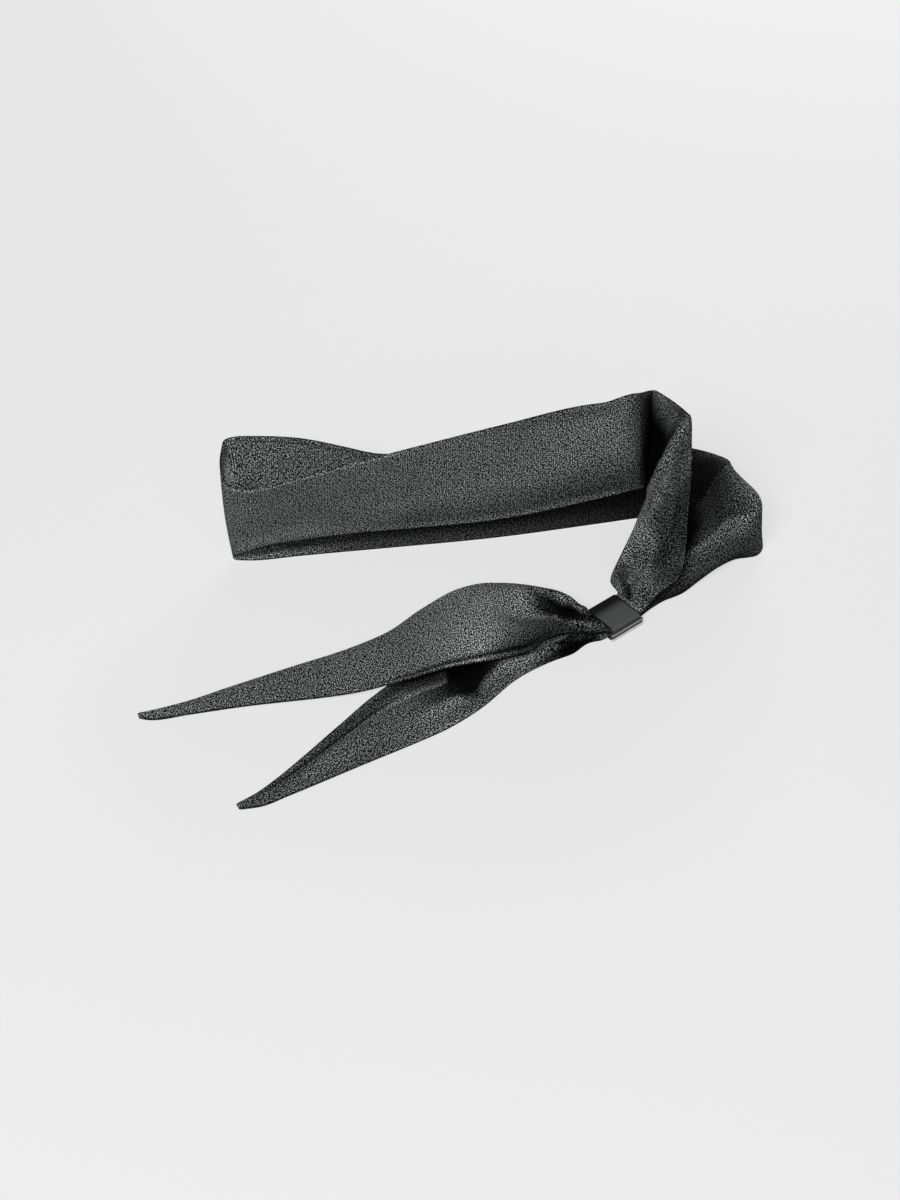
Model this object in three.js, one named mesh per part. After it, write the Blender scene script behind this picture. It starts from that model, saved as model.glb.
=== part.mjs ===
// A slim scarf tie of dark grey cloth, drawn through a black metal slide.
// Units are millimetres, +Z is up and the floor is at Z = 0.
// The loop for the neck stands on its long edge behind, the two pointed tails lie in front.
//
// One strip makes the whole scarf. Its path runs from the tip of the front tail to the slide,
// up to the peak, along the near side of the loop, round the left fold, back along the far side,
// round the right fold, through the slide again and out to the tip of the back tail.

import * as THREE from "three";

// The cloth, two layers thick.
const WALL = 1.1;
// Spacing of the sections where the strip is folded and where it is plain.
const FOLDED_STEP = 7;
const PLAIN_STEP = 15;
// A section counts as folded above this angle, in degrees.
const FOLDED_ANGLE = 15;
// Points across one section.
const COLUMNS = 16;
// A section is bent from this many equal strips of cloth.
const FACETS = 6;
// The steepest slope of the curve between two rows, as a share of the flatter neighbour.
const SLOPE_LIMIT = 2.2;

// The slide is a flat tube that lies on the floor. The cloth passes through it twice.
const SLIDE_X = 80.4;
const SLIDE_Y = -16;
const SLIDE_TURN = THREE.MathUtils.degToRad(40);
const SLIDE_LENGTH = 19;
const SLIDE_WIDTH = 20.4;
const SLIDE_HEIGHT = 7.4;
const SLIDE_WALL = 0.9;
// Its back side is almost half round, its front side has small corners.
const SLIDE_BACK_CORNER = 3.2;
const SLIDE_FRONT_CORNER = 1.2;
const UPPER_PASS_Z = 5;
const LOWER_PASS_Z = 2.4;
const PASS_HALF_WIDTH = 8.5;

// The bar along the slide's right-hand side.
const BAR_LENGTH = 20.2;
const BAR_DEPTH = 1.2;
const BAR_HEIGHT = 4.4;
const BAR_BASE_Z = 0.9;
const BAR_GAP = 0.3;

// A point given in the slide's own directions: along it, to its right, and up.
function slidePoint(along, right, up) {
  const x = SLIDE_X + along * Math.cos(SLIDE_TURN) + right * Math.sin(SLIDE_TURN);
  const y = SLIDE_Y + along * Math.sin(SLIDE_TURN) - right * Math.cos(SLIDE_TURN);
  return [x, y, up];
}

const FLAT = [0, 0, 0, 0, 0, 0];
const SOFT_CROWN = [8, 5, 2, -2, -5, -8];
const PLEATED = [14, -14, 14, -14, 14, -14];
const MOUTH = SLIDE_LENGTH / 2;
const BY_MOUTH = MOUTH + 1.1;
const PAST_MOUTH = MOUTH + 3;

// Each row is one section of the strip.
// low and high are its two edges as x, y, z. On the loop they are the lower and the upper edge.
// folds are the slopes of its six facets from low to high, in degrees. Plus rises outwards.
const FRONT_TAIL = [
  { low: [-150, -81, 0.9], high: [-149, -84, 0.9], folds: FLAT },
  { low: [-145, -79.5, 0.9], high: [-143, -85, 0.9], folds: FLAT },
  { low: [-128, -73.5, 1], high: [-125, -81.5, 1], folds: SOFT_CROWN },
  { low: [-106, -63, 1.2], high: [-100, -76.5, 1.2], folds: SOFT_CROWN },
  { low: [-77, -50, 2], high: [-69.5, -72, 1.5], folds: SOFT_CROWN },
  { low: [-50, -38.5, 3], high: [-41, -68.6, 4], folds: [10, 6, 2, -2, -6, -10] },
  { low: [-30.5, -27.5, 4], high: [-20, -63.9, 7.4], folds: [12, 7, 2, -2, -7, -12] },
  { low: [-13, -10, 4], high: [-3, -57.4, 8], folds: [14, 8, 3, -3, -8, -14] },
  { low: [5, 4, 4], high: [14.5, -53.7, 9], folds: [16, 10, 4, -4, -10, -16] },
  { low: [20, 8, 4], high: [27.5, -51.5, 10], folds: [18, 6, -4, 6, -8, -18] },
  { low: [34, 4, 7], high: [39, -46.5, 9], folds: [22, -12, -22, 24, 2, -18] },
  { low: [47, -2.5, 10], high: [49, -37.4, 9.5], folds: [32, -36, -48, 56, 14, -22] },
  { low: [57.5, -9, 11], high: [60, -32.5, 8], folds: [36, -30, -52, 62, 10, -26] },
  {
    low: slidePoint(-PAST_MOUTH, -10.9, 11.4),
    high: slidePoint(-PAST_MOUTH, 7.9, 6),
    folds: [26, -30, -34, 44, 20, -24],
  },
  {
    low: slidePoint(-BY_MOUTH, -8.7, 6.2),
    high: slidePoint(-BY_MOUTH, 8, 5.4),
    folds: [18, -18, -16, 24, 8, -16],
  },
];

const UPPER_PASS = [-MOUTH, MOUTH].map((along) => ({
  low: slidePoint(along, -PASS_HALF_WIDTH, UPPER_PASS_Z),
  high: slidePoint(along, PASS_HALF_WIDTH, UPPER_PASS_Z),
  folds: PLEATED,
}));

const RISE_TO_PEAK = [
  {
    low: slidePoint(PAST_MOUTH, -9.3, 6.2),
    high: slidePoint(PAST_MOUTH, PASS_HALF_WIDTH, 5.6),
    folds: [26, -26, 30, -30, 26, -26],
  },
  { low: [79.6, -1.8, 15], high: [103.5, -7.5, 11.5], folds: [20, 34, -50, 20, -8, -22] },
  { low: [81.4, -1.8, 24], high: [114, 0, 17], folds: [34, 22, -12, 6, -10, -30] },
  { low: [86.7, 2, 35.9], high: [116.3, 5, 29], folds: [40, 20, 4, -8, -18, -36] },
  { low: [91.1, 8.8, 41.7], high: [117.5, 16.8, 47], folds: [44, 22, 6, -8, -20, -38] },
  { low: [93.7, 14.6, 45], high: [118.4, 24, 62], folds: [40, 22, 6, -8, -20, -34] },
  { low: [97.2, 22.5, 47.5], high: [117.6, 24.5, 85], folds: [24, 14, 4, -6, -16, -24] },
  { low: [97.6, 25.2, 49.5], high: [115.8, 23, 100.8], folds: [6, 4, 1, -1, -4, -6] },
  { low: [97.8, 29, 47.5], high: [113.2, 26.5, 101], folds: FLAT },
  { low: [98, 40, 39], high: [105, 40, 98.5], folds: FLAT },
  { low: [98.5, 46.5, 35], high: [99.8, 49, 95], folds: FLAT },
  { low: [97.8, 45.5, 35.5], high: [97.5, 45, 98], folds: FLAT },
];

const NEAR_SIDE = [
  { low: [94.5, 41.5, 37.5], high: [91.5, 40.5, 100], folds: FLAT },
  { low: [75, 39.5, 33], high: [73.5, 42, 92.5], folds: FLAT },
  { low: [25, 34, 24], high: [24.5, 28, 90], folds: FLAT },
  { low: [-15, 30, 22], high: [-14.5, 18, 85.5], folds: FLAT },
  { low: [-48.5, 28, 20], high: [-47, 12, 79.5], folds: FLAT },
  { low: [-77.5, 27, 16], high: [-75, 9, 72], folds: FLAT },
  { low: [-99, 27, 10], high: [-95.5, 8, 66], folds: FLAT },
];

const LEFT_FOLD = [
  { low: [-109.5, 30.5, 2], high: [-108.5, 12, 65], folds: [3, 2, 1, -1, -2, -3] },
  { low: [-109.5, 30, 0.8], high: [-113.5, 38, 62], folds: [3, 2, 1, -1, -2, -3] },
  { low: [-107.5, 29, 0.5], high: [-113, 52, 60], folds: FLAT },
];

const FAR_SIDE = [
  { low: [-100.5, 29, 0.3], high: [-103, 56, 60], folds: FLAT },
  { low: [-76, 32.5, 0.3], high: [-74.5, 49.5, 64], folds: FLAT },
  { low: [-55, 35.5, 0.3], high: [-53.5, 41.5, 65.5], folds: FLAT },
  { low: [-33, 38.5, 0.3], high: [-32, 35.5, 65.5], folds: FLAT },
  { low: [25.5, 47, 0.3], high: [25, 42, 65], folds: FLAT },
  { low: [77, 57.5, 0.3], high: [74.5, 51, 64], folds: FLAT },
  { low: [100.5, 62.5, 0.3], high: [97, 51.5, 63], folds: FLAT },
  { low: [124, 66.5, 0.3], high: [119.5, 46.5, 60], folds: FLAT },
];

const RIGHT_FOLD = [
  { low: [148, 61, 0.3], high: [132, 41, 60], folds: [14, 9, 3, -3, -9, -14] },
  { low: [159, 39.5, 0.3], high: [138, 36, 60], folds: [12, 16, 16, -22, -18, -4] },
  { low: [156.5, 33.5, 0.3], high: [135.5, 34, 59], folds: [14, 16, 16, -22, -20, -4] },
];

const RETURN_TO_SLIDE = [
  { low: [144, 30, 0.4], high: [130, 27, 56], folds: [34, 4, -26, -12, 0, 2] },
  { low: [135, 24, 0.4], high: [125.5, 21, 50], folds: [40, -4, -30, -10, 2, 6] },
  { low: [125.5, 14.5, 0.5], high: [118, 20, 42.5], folds: [44, -6, -36, -6, 6, 4] },
  { low: [116, 4.5, 0.6], high: [112, 13.5, 24], folds: [40, 6, -40, -30, 10, 20] },
  { low: [105, -2.5, 0.8], high: [98.5, 5, 11], folds: [40, 20, -40, -40, 10, 20] },
  {
    low: slidePoint(PAST_MOUTH, 7.9, 2.2),
    high: slidePoint(PAST_MOUTH, -7.5, 2.4),
    folds: [20, -22, 22, -22, 20, -22],
  },
];

const LOWER_PASS = [MOUTH, -MOUTH].map((along) => ({
  low: slidePoint(along, PASS_HALF_WIDTH, LOWER_PASS_Z),
  high: slidePoint(along, -PASS_HALF_WIDTH, LOWER_PASS_Z),
  folds: PLEATED,
}));

const BACK_TAIL = [
  {
    low: slidePoint(-PAST_MOUTH, 8.1, 2),
    high: slidePoint(-PAST_MOUTH, -6.5, 2.2),
    folds: [10, 16, -20, -16, 16, -10],
  },
  { low: [70, -31.5, 0.9], high: [61.5, -21.5, 2.5], folds: [50, 30, -35, -35, 0, 10] },
  { low: [60, -40, 0.9], high: [48.5, -30, 3], folds: [55, 30, -35, -35, 0, 10] },
  { low: [46.5, -47, 0.9], high: [34.5, -37.5, 3.5], folds: [50, 30, -20, -36, 0, 10] },
  { low: [32, -58, 0.9], high: [16.5, -41, 4], folds: [36, 22, 0, -34, -20, 10] },
  { low: [15.5, -77, 0.9], high: [-1, -50, 4], folds: [24, 14, 4, -26, -24, 16] },
  { low: [0, -90.5, 0.9], high: [-20.5, -56, 3.5], folds: [20, 10, 4, -16, -30, 26] },
  { low: [-17.5, -101.5, 0.9], high: [-37, -72, 4], folds: [16, 10, 4, -14, -30, 26] },
  { low: [-37.5, -113, 0.9], high: [-53.5, -92.5, 4], folds: [16, 10, 4, -16, -28, 26] },
  { low: [-58, -125, 0.9], high: [-69, -111, 3], folds: [14, 8, 2, -16, -22, 22] },
  { low: [-74.5, -134.5, 0.9], high: [-81.5, -125, 2], folds: [10, 8, 0, -12, -14, 14] },
  { low: [-87.5, -141.5, 0.9], high: [-91, -134, 1], folds: FLAT },
  { low: [-98, -143.5, 0.9], high: [-99.5, -140.5, 0.9], folds: FLAT },
];

const SECTIONS = [
  ...FRONT_TAIL,
  ...UPPER_PASS,
  ...RISE_TO_PEAK,
  ...NEAR_SIDE,
  ...LEFT_FOLD,
  ...FAR_SIDE,
  ...RIGHT_FOLD,
  ...RETURN_TO_SLIDE,
  ...LOWER_PASS,
  ...BACK_TAIL,
];

// The slope of a smooth curve at one row, held back so that the curve never overshoots.
function slopeAt(before, after, spanBefore, spanAfter) {
  if (before * after <= 0) {
    return 0;
  }
  const mean = (before * spanAfter + after * spanBefore) / (spanBefore + spanAfter);
  const limit = SLOPE_LIMIT * Math.min(Math.abs(before), Math.abs(after));
  return Math.sign(mean) * Math.min(Math.abs(mean), limit);
}

// A smooth curve through one number of every row, read at a distance along the strip.
function makeCurve(distances, values) {
  const spans = distances.slice(1).map((d, i) => d - distances[i]);
  const rates = spans.map((span, i) => (values[i + 1] - values[i]) / span);
  const last = rates.length - 1;
  const slopes = values.map((_, i) => {
    if (i === 0) {
      return rates[0];
    }
    if (i > last) {
      return rates[last];
    }
    return slopeAt(rates[i - 1], rates[i], spans[i - 1], spans[i]);
  });
  return (row, share) => {
    const t = share;
    const bend = 2 * t ** 3 - 3 * t ** 2;
    const start = values[row] * (bend + 1) + values[row + 1] * -bend;
    const leave = slopes[row] * (t ** 3 - 2 * t ** 2 + t);
    const arrive = slopes[row + 1] * (t ** 3 - t ** 2);
    return start + spans[row] * (leave + arrive);
  };
}

function middle(row) {
  return new THREE.Vector3(...row.low).add(new THREE.Vector3(...row.high)).multiplyScalar(0.5);
}

// Where every section of the mesh lies: a row number and the share of the way to the next row.
function sectionPlaces(rows, distances) {
  const places = [];
  for (let row = 0; row < rows.length - 1; row += 1) {
    const steepest = Math.max(...rows[row].folds, ...rows[row + 1].folds);
    const step = steepest > FOLDED_ANGLE ? FOLDED_STEP : PLAIN_STEP;
    const parts = Math.max(1, Math.round((distances[row + 1] - distances[row]) / step));
    for (let part = 0; part < parts; part += 1) {
      places.push({ row, share: part / parts });
    }
  }
  places.push({ row: rows.length - 2, share: 1 });
  return places;
}

// The slope of the cloth at a share of the way across, blended between neighbouring facets.
function facetSlope(folds, across) {
  const place = across * FACETS - 0.5;
  const first = THREE.MathUtils.clamp(Math.floor(place), 0, FACETS - 2);
  const blend = THREE.MathUtils.smoothstep(place - first, 0, 1);
  return folds[first] * (1 - blend) + folds[first + 1] * blend;
}

// The outline of one section: across and out, scaled so that it spans the chord.
function sectionOutline(folds, chord) {
  const across = [0];
  const out = [0];
  for (let column = 1; column < COLUMNS; column += 1) {
    const slope = THREE.MathUtils.degToRad(facetSlope(folds, (column - 0.5) / (COLUMNS - 1)));
    across.push(across[column - 1] + Math.cos(slope));
    out.push(out[column - 1] + Math.sin(slope));
  }
  const endAcross = across[COLUMNS - 1];
  const endOut = out[COLUMNS - 1];
  const reach = Math.hypot(endAcross, endOut);
  const scale = chord / reach ** 2;
  return across.map((a, i) => ({
    across: (a * endAcross + out[i] * endOut) * scale,
    out: (out[i] * endAcross - a * endOut) * scale,
  }));
}

// The middle surface of the strip, as rows of points.
function middleSurface(rows) {
  const middles = rows.map(middle);
  const distances = [0];
  for (let i = 1; i < rows.length; i += 1) {
    distances.push(distances[i - 1] + middles[i].distanceTo(middles[i - 1]));
  }
  const curveOf = (pick) => makeCurve(distances, rows.map(pick));
  const lowCurves = [0, 1, 2].map((axis) => curveOf((row) => row.low[axis]));
  const highCurves = [0, 1, 2].map((axis) => curveOf((row) => row.high[axis]));
  const foldCurves = FLAT.map((_, facet) => curveOf((row) => row.folds[facet]));
  const sections = sectionPlaces(rows, distances).map(({ row, share }) => ({
    low: new THREE.Vector3(...lowCurves.map((curve) => curve(row, share))),
    high: new THREE.Vector3(...highCurves.map((curve) => curve(row, share))),
    folds: foldCurves.map((curve) => curve(row, share)),
  }));
  const centres = sections.map((s) => s.low.clone().add(s.high).multiplyScalar(0.5));
  return sections.map((section, i) => {
    const ahead = centres[Math.min(i + 1, centres.length - 1)];
    const behind = centres[Math.max(i - 1, 0)];
    const travel = ahead.clone().sub(behind).normalize();
    const chord = section.high.clone().sub(section.low);
    const length = chord.length();
    chord.normalize();
    const outward = chord.clone().cross(travel).normalize();
    return sectionOutline(section.folds, length).map((point) =>
      section.low
        .clone()
        .addScaledVector(chord, point.across)
        .addScaledVector(outward, point.out),
    );
  });
}

// The outward direction at every point of a grid.
function gridNormals(grid) {
  const lastRow = grid.length - 1;
  const lastColumn = grid[0].length - 1;
  return grid.map((points, i) =>
    points.map((_, j) => {
      const down = grid[Math.min(i + 1, lastRow)][j].clone().sub(grid[Math.max(i - 1, 0)][j]);
      const right = points[Math.min(j + 1, lastColumn)].clone().sub(points[Math.max(j - 1, 0)]);
      return right.cross(down).normalize();
    }),
  );
}

// A closed sheet of even thickness about a grid of points.
function thickSheet(grid, wall) {
  const normals = gridNormals(grid);
  const rowCount = grid.length;
  const columnCount = grid[0].length;
  const positions = [];
  for (const side of [1, -1]) {
    grid.forEach((points, i) =>
      points.forEach((point, j) => {
        positions.push(...point.clone().addScaledVector(normals[i][j], (side * wall) / 2));
      }),
    );
  }
  const under = rowCount * columnCount;
  const at = (i, j) => i * columnCount + j;
  const faces = [];
  const quad = (a, b, c, d) => faces.push(a, b, c, a, c, d);
  for (let i = 0; i < rowCount - 1; i += 1) {
    for (let j = 0; j < columnCount - 1; j += 1) {
      const corners = [at(i, j), at(i, j + 1), at(i + 1, j + 1), at(i + 1, j)];
      quad(...corners);
      quad(...corners.reverse().map((corner) => corner + under));
    }
  }
  const rim = [];
  for (let j = 0; j < columnCount - 1; j += 1) {
    rim.push(at(0, j));
  }
  for (let i = 0; i < rowCount - 1; i += 1) {
    rim.push(at(i, columnCount - 1));
  }
  for (let j = columnCount - 1; j > 0; j -= 1) {
    rim.push(at(rowCount - 1, j));
  }
  for (let i = rowCount - 1; i > 0; i -= 1) {
    rim.push(at(i, 0));
  }
  rim.forEach((corner, k) => {
    const next = rim[(k + 1) % rim.length];
    quad(next, corner, corner + under, next + under);
  });
  const geometry = new THREE.BufferGeometry();
  geometry.setAttribute("position", new THREE.Float32BufferAttribute(positions, 3));
  geometry.setIndex(faces);
  geometry.computeVertexNormals();
  return geometry;
}

// A rectangle that stands on the line at baseHeight, with its own corner radius on each side.
function roundedRectangle(width, height, leftRadius, rightRadius, baseHeight, PathType) {
  const half = width / 2;
  const top = baseHeight + height;
  const left = -half + leftRadius;
  const right = half - rightRadius;
  const path = new PathType();
  path.moveTo(left, baseHeight);
  path.lineTo(right, baseHeight);
  path.absarc(right, baseHeight + rightRadius, rightRadius, -Math.PI / 2, 0, false);
  path.lineTo(half, top - rightRadius);
  path.absarc(right, top - rightRadius, rightRadius, 0, Math.PI / 2, false);
  path.lineTo(left, top);
  path.absarc(left, top - leftRadius, leftRadius, Math.PI / 2, Math.PI, false);
  path.lineTo(-half, baseHeight + leftRadius);
  path.absarc(left, baseHeight + leftRadius, leftRadius, Math.PI, Math.PI * 1.5, false);
  return path;
}

// The slide is drawn upright as a ring outline and pushed out along its length.
const sleeveOutline = roundedRectangle(
  SLIDE_WIDTH,
  SLIDE_HEIGHT,
  SLIDE_BACK_CORNER,
  SLIDE_FRONT_CORNER,
  0,
  THREE.Shape,
);
const sleeveOpening = roundedRectangle(
  SLIDE_WIDTH - 2 * SLIDE_WALL,
  SLIDE_HEIGHT - 2 * SLIDE_WALL,
  SLIDE_BACK_CORNER - SLIDE_WALL,
  SLIDE_FRONT_CORNER - SLIDE_WALL,
  SLIDE_WALL,
  THREE.Path,
);
sleeveOutline.holes.push(sleeveOpening);
const sleeveGeometry = new THREE.ExtrudeGeometry(sleeveOutline, {
  depth: SLIDE_LENGTH,
  bevelEnabled: false,
  curveSegments: 5,
});
sleeveGeometry.translate(0, 0, -SLIDE_LENGTH / 2);

const barGeometry = new THREE.BoxGeometry(BAR_DEPTH, BAR_HEIGHT, BAR_LENGTH);
barGeometry.translate(
  SLIDE_WIDTH / 2 + BAR_GAP + BAR_DEPTH / 2,
  BAR_BASE_Z + BAR_HEIGHT / 2,
  0,
);

function finish(color, roughness, metalness) {
  return new THREE.MeshStandardMaterial({ color, roughness, metalness });
}

const clothMaterial = finish(0x4b4d4e, 0.95, 0);
const blackMetal = finish(0x2e2e2f, 0.4, 0.6);
const brightMetal = finish(0x6a6a6a, 0.3, 0.9);

const strip = new THREE.Mesh(thickSheet(middleSurface(SECTIONS), WALL), clothMaterial);
strip.name = "scarf_strip";

const sleeve = new THREE.Mesh(sleeveGeometry, blackMetal);
sleeve.name = "slide_sleeve";

const bar = new THREE.Mesh(barGeometry, brightMetal);
bar.name = "slide_edge_bar";

// In the slide's group X points to its right, Y points up and Z points back along it.
const slide = new THREE.Group();
slide.add(sleeve, bar);
slide.rotation.set(Math.PI / 2, 0, SLIDE_TURN - Math.PI / 2, "ZXY");
slide.position.set(SLIDE_X, SLIDE_Y, 0);

const tie = new THREE.Group();
tie.add(strip, slide);

// The origin goes to the middle of the footprint, on the floor.
tie.updateMatrixWorld(true);
const box = new THREE.Box3().setFromObject(tie, true);
tie.position.set(-(box.min.x + box.max.x) / 2, -(box.min.y + box.max.y) / 2, -box.min.z);

const root = new THREE.Group();
root.add(tie);

export default root;
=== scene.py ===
# %% [markdown]
# # A slim scarf tie, drawn through a metal slide
#
# The real thing is one long strip of dark grey wool-like cloth, two layers thick, with a
# pointed tail at each end. Both ends pass through a flat black metal slide. The loop for the
# neck stands on its long edge behind, and the tails lie on the floor in front of it.
#
# The lesson builds that strip as one surface: a short table says where the two edges of the
# cloth run and how each section is folded, and numpy works out every point between. The slide
# is a profile carried along a straight line. All sizes in the tables are millimetres, and they
# become metres when a mesh is made.

# %% Load the frame
import math
import bpy
import numpy as np
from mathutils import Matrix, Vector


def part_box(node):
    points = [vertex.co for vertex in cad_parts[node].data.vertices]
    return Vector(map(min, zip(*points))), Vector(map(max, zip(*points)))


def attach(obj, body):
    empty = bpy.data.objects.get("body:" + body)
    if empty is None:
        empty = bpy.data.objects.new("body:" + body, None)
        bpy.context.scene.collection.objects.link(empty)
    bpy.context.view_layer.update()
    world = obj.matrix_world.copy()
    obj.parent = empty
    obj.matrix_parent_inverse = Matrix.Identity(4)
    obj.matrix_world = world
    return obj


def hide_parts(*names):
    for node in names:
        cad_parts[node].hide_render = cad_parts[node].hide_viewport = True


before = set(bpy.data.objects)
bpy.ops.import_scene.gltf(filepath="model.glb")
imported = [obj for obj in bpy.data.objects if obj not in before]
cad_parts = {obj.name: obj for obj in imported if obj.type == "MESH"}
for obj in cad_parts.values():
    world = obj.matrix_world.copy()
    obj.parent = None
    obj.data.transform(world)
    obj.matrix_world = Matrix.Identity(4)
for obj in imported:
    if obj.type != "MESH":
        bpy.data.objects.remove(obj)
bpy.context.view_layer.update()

# %% [markdown]
# ## Where the tables' zero is
#
# The tables count from the point of the floor that the camera looks at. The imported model
# counts from the middle of its footprint. The slide is in both, so its centre gives the step
# from one to the other.

# %% Step from the tables to the model
MM = 0.001
SLIDE_X, SLIDE_Y = 80.4, -16.0
sleeve_low, sleeve_high = (np.array(corner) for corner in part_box("slide_sleeve"))
slide_centre = (sleeve_low + sleeve_high) / 2
SHIFT = np.array([slide_centre[0] - SLIDE_X * MM, slide_centre[1] - SLIDE_Y * MM, 0.0])
print("the tables' zero lies at", SHIFT.round(5))


def to_metres(points):
    """Each point in millimetres, turned into metres and moved by the step above."""
    return np.asarray(points, float) * MM + SHIFT


# %% [markdown]
# ## Camera
#
# The slide's top looks like a true rectangle on the floor only if the camera looks down by
# about 43 degrees, so that is the angle. A long lens from 1.5 m keeps the perspective as weak
# as in the photograph.

# %% Camera
CAMERA_PITCH = math.radians(43.0)
CAMERA_DISTANCE = 1.5
LENS, SENSOR = 90.0, 36.0
camera_data = bpy.data.cameras.new("camera")
camera_data.lens = LENS
camera_data.sensor_width = SENSOR
camera = bpy.data.objects.new("camera", camera_data)
back_step = CAMERA_DISTANCE * math.cos(CAMERA_PITCH)
camera.location = (SHIFT[0], SHIFT[1] - back_step, CAMERA_DISTANCE * math.sin(CAMERA_PITCH))
camera.rotation_euler = (math.pi / 2 - CAMERA_PITCH, 0.0, 0.0)
bpy.context.scene.collection.objects.link(camera)
bpy.context.scene.camera = camera
print("camera at", tuple(round(v, 3) for v in camera.location))

# %% [markdown]
# ## Floor
#
# The photograph has an even pale grey floor with hardly any shadow, as from a light table. A
# lit white floor would show the lamps' pools of light and the tie's shadow. So the floor glows
# by itself instead, and its glow is kept off the cloth.

# %% Floor
FLOOR_HALF = 3.0
FLOOR_GREY = 0.20
FLOOR_GLOW = 0.625
WHITE = (1.0, 1.0, 1.0, 1.0)


def mesh_object(name, points, faces, smooth=True):
    """A mesh object made from one row for each point and a list of corner numbers for each face."""
    mesh = bpy.data.meshes.new(name)
    mesh.from_pydata(np.asarray(points).tolist(), [], faces)
    mesh.polygons.foreach_set("use_smooth", np.full(len(mesh.polygons), smooth))
    mesh.update()
    piece = bpy.data.objects.new(name, mesh)
    bpy.context.scene.collection.objects.link(piece)
    return piece


def fill_inputs(node, inputs):
    """Each named input of a node gets its value, or a link from another node's output."""
    for name, value in inputs.items():
        if isinstance(value, bpy.types.NodeSocket):
            node.id_data.links.new(value, node.inputs[name])
        else:
            node.inputs[name].default_value = value


def node_material(name, inputs):
    """A material with nodes and its shader's inputs filled, then its node tree and the shader."""
    material = bpy.data.materials.new(name)
    material.use_nodes = True
    shader = material.node_tree.nodes["Principled BSDF"]
    fill_inputs(shader, inputs)
    return material, material.node_tree, shader


left, right = -FLOOR_HALF, FLOOR_HALF
floor_corners = [(left, left, 0.0), (right, left, 0.0), (right, right, 0.0), (left, right, 0.0)]
floor = mesh_object("floor", floor_corners, [(0, 1, 2, 3)], smooth=False)
floor_paint, _, _ = node_material("pale_floor", {
    "Base Color": (FLOOR_GREY, FLOOR_GREY, FLOOR_GREY, 1.0), "Roughness": 0.9, "Specular IOR Level": 0.1,
    "Emission Color": WHITE, "Emission Strength": FLOOR_GLOW})
floor.data.materials.append(floor_paint)
floor.visible_diffuse = False
print("floor of", 2 * FLOOR_HALF, "metres a side")

# %% [markdown]
# ## Light
#
# Two soft lamps stand in front, the stronger one high on the left: it gives the cloth its
# direction, and the other one lifts the right side. A weak low lamp stands behind, so that the
# back isn't black when the tie is seen from there. Large square lamps give soft shading, as in
# a studio, where a point or a sun would draw hard edges into every fold.

# %% Light
WORLD_LIGHT = 0.08
AIM_HEIGHT = 0.03
# name, place and side of the square in metres, power in watts
LAMPS = [
    ("key_lamp", (-0.5, -1.15, 1.4), 0.6, 25.0),
    ("fill_lamp", (0.15, -1.2, 1.1), 1.0, 7.0),
    ("back_lamp", (0.35, 1.25, 0.4), 0.8, 13.0),
]
world = bpy.data.worlds.new("studio")
world.use_nodes = True
fill_inputs(world.node_tree.nodes["Background"], {"Color": WHITE, "Strength": WORLD_LIGHT})
bpy.context.scene.world = world


def area_lamp(name, place, side, power):
    """A square lamp at a place, turned so that it shines at the tie."""
    data = bpy.data.lights.new(name, "AREA")
    data.shape = "SQUARE"
    data.size = side
    data.energy = power
    lamp = bpy.data.objects.new(name, data)
    lamp.location = place
    aim = np.array([SHIFT[0], SHIFT[1], AIM_HEIGHT]) - np.array(place)
    flat = math.hypot(aim[0], aim[1])
    lamp.rotation_euler = (math.atan2(flat, -aim[2]), 0.0, math.atan2(aim[1], aim[0]) - math.pi / 2)
    bpy.context.scene.collection.objects.link(lamp)


for lamp_row in LAMPS:
    area_lamp(*lamp_row)
bpy.context.scene.view_settings.view_transform = "Standard"
print(len(LAMPS), "lamps, the strongest of", max(row[3] for row in LAMPS), "W")

# %% [markdown]
# ## Directions of the slide
#
# The slide lies turned by 40 degrees on the floor, and both ends of the strip pass through it,
# one above the other. So some points of the strip are easier to say in the slide's own
# directions than in x and y.

# %% Directions of the slide
SLIDE_TURN = math.radians(40.0)
SLIDE_LENGTH = 19.0
MOUTH = SLIDE_LENGTH / 2
PAST_MOUTH, BY_MOUTH = MOUTH + 3.0, MOUTH + 1.1
UPPER_PASS_Z, LOWER_PASS_Z = 5.0, 2.4
PASS_HALF_WIDTH = 8.5


def slide_point(along, right, up):
    """A point, or arrays of them, in the slide's own directions: along it, to its right, and up."""
    c, s = math.cos(SLIDE_TURN), math.sin(SLIDE_TURN)
    return (SLIDE_X + along * c + right * s, SLIDE_Y + along * s - right * c, up)


print("middle of the slide's far mouth, in mm:", np.round(slide_point(MOUTH, 0, 0), 1))

# %% [markdown]
# ## The strip of cloth, as a table of sections
#
# A strip that is folded, gathered and laid down is hard to sculpt, but easy to describe: at
# each station along it, say where its two edges are and how the cloth between them is folded.
# Each row has the low edge and the high edge as x, y, z, and the slopes of six equal facets
# from the low edge to the high one, in degrees. A plus slope rises to the outer side. The
# first table is the front tail, from its tip to the slide, and its pass through the slide.

# %% Sections of the front tail
FLAT = (0, 0, 0, 0, 0, 0)
SOFT_CROWN = (8, 5, 2, -2, -5, -8)
PLEATED = (14, -14, 14, -14, 14, -14)

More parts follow.
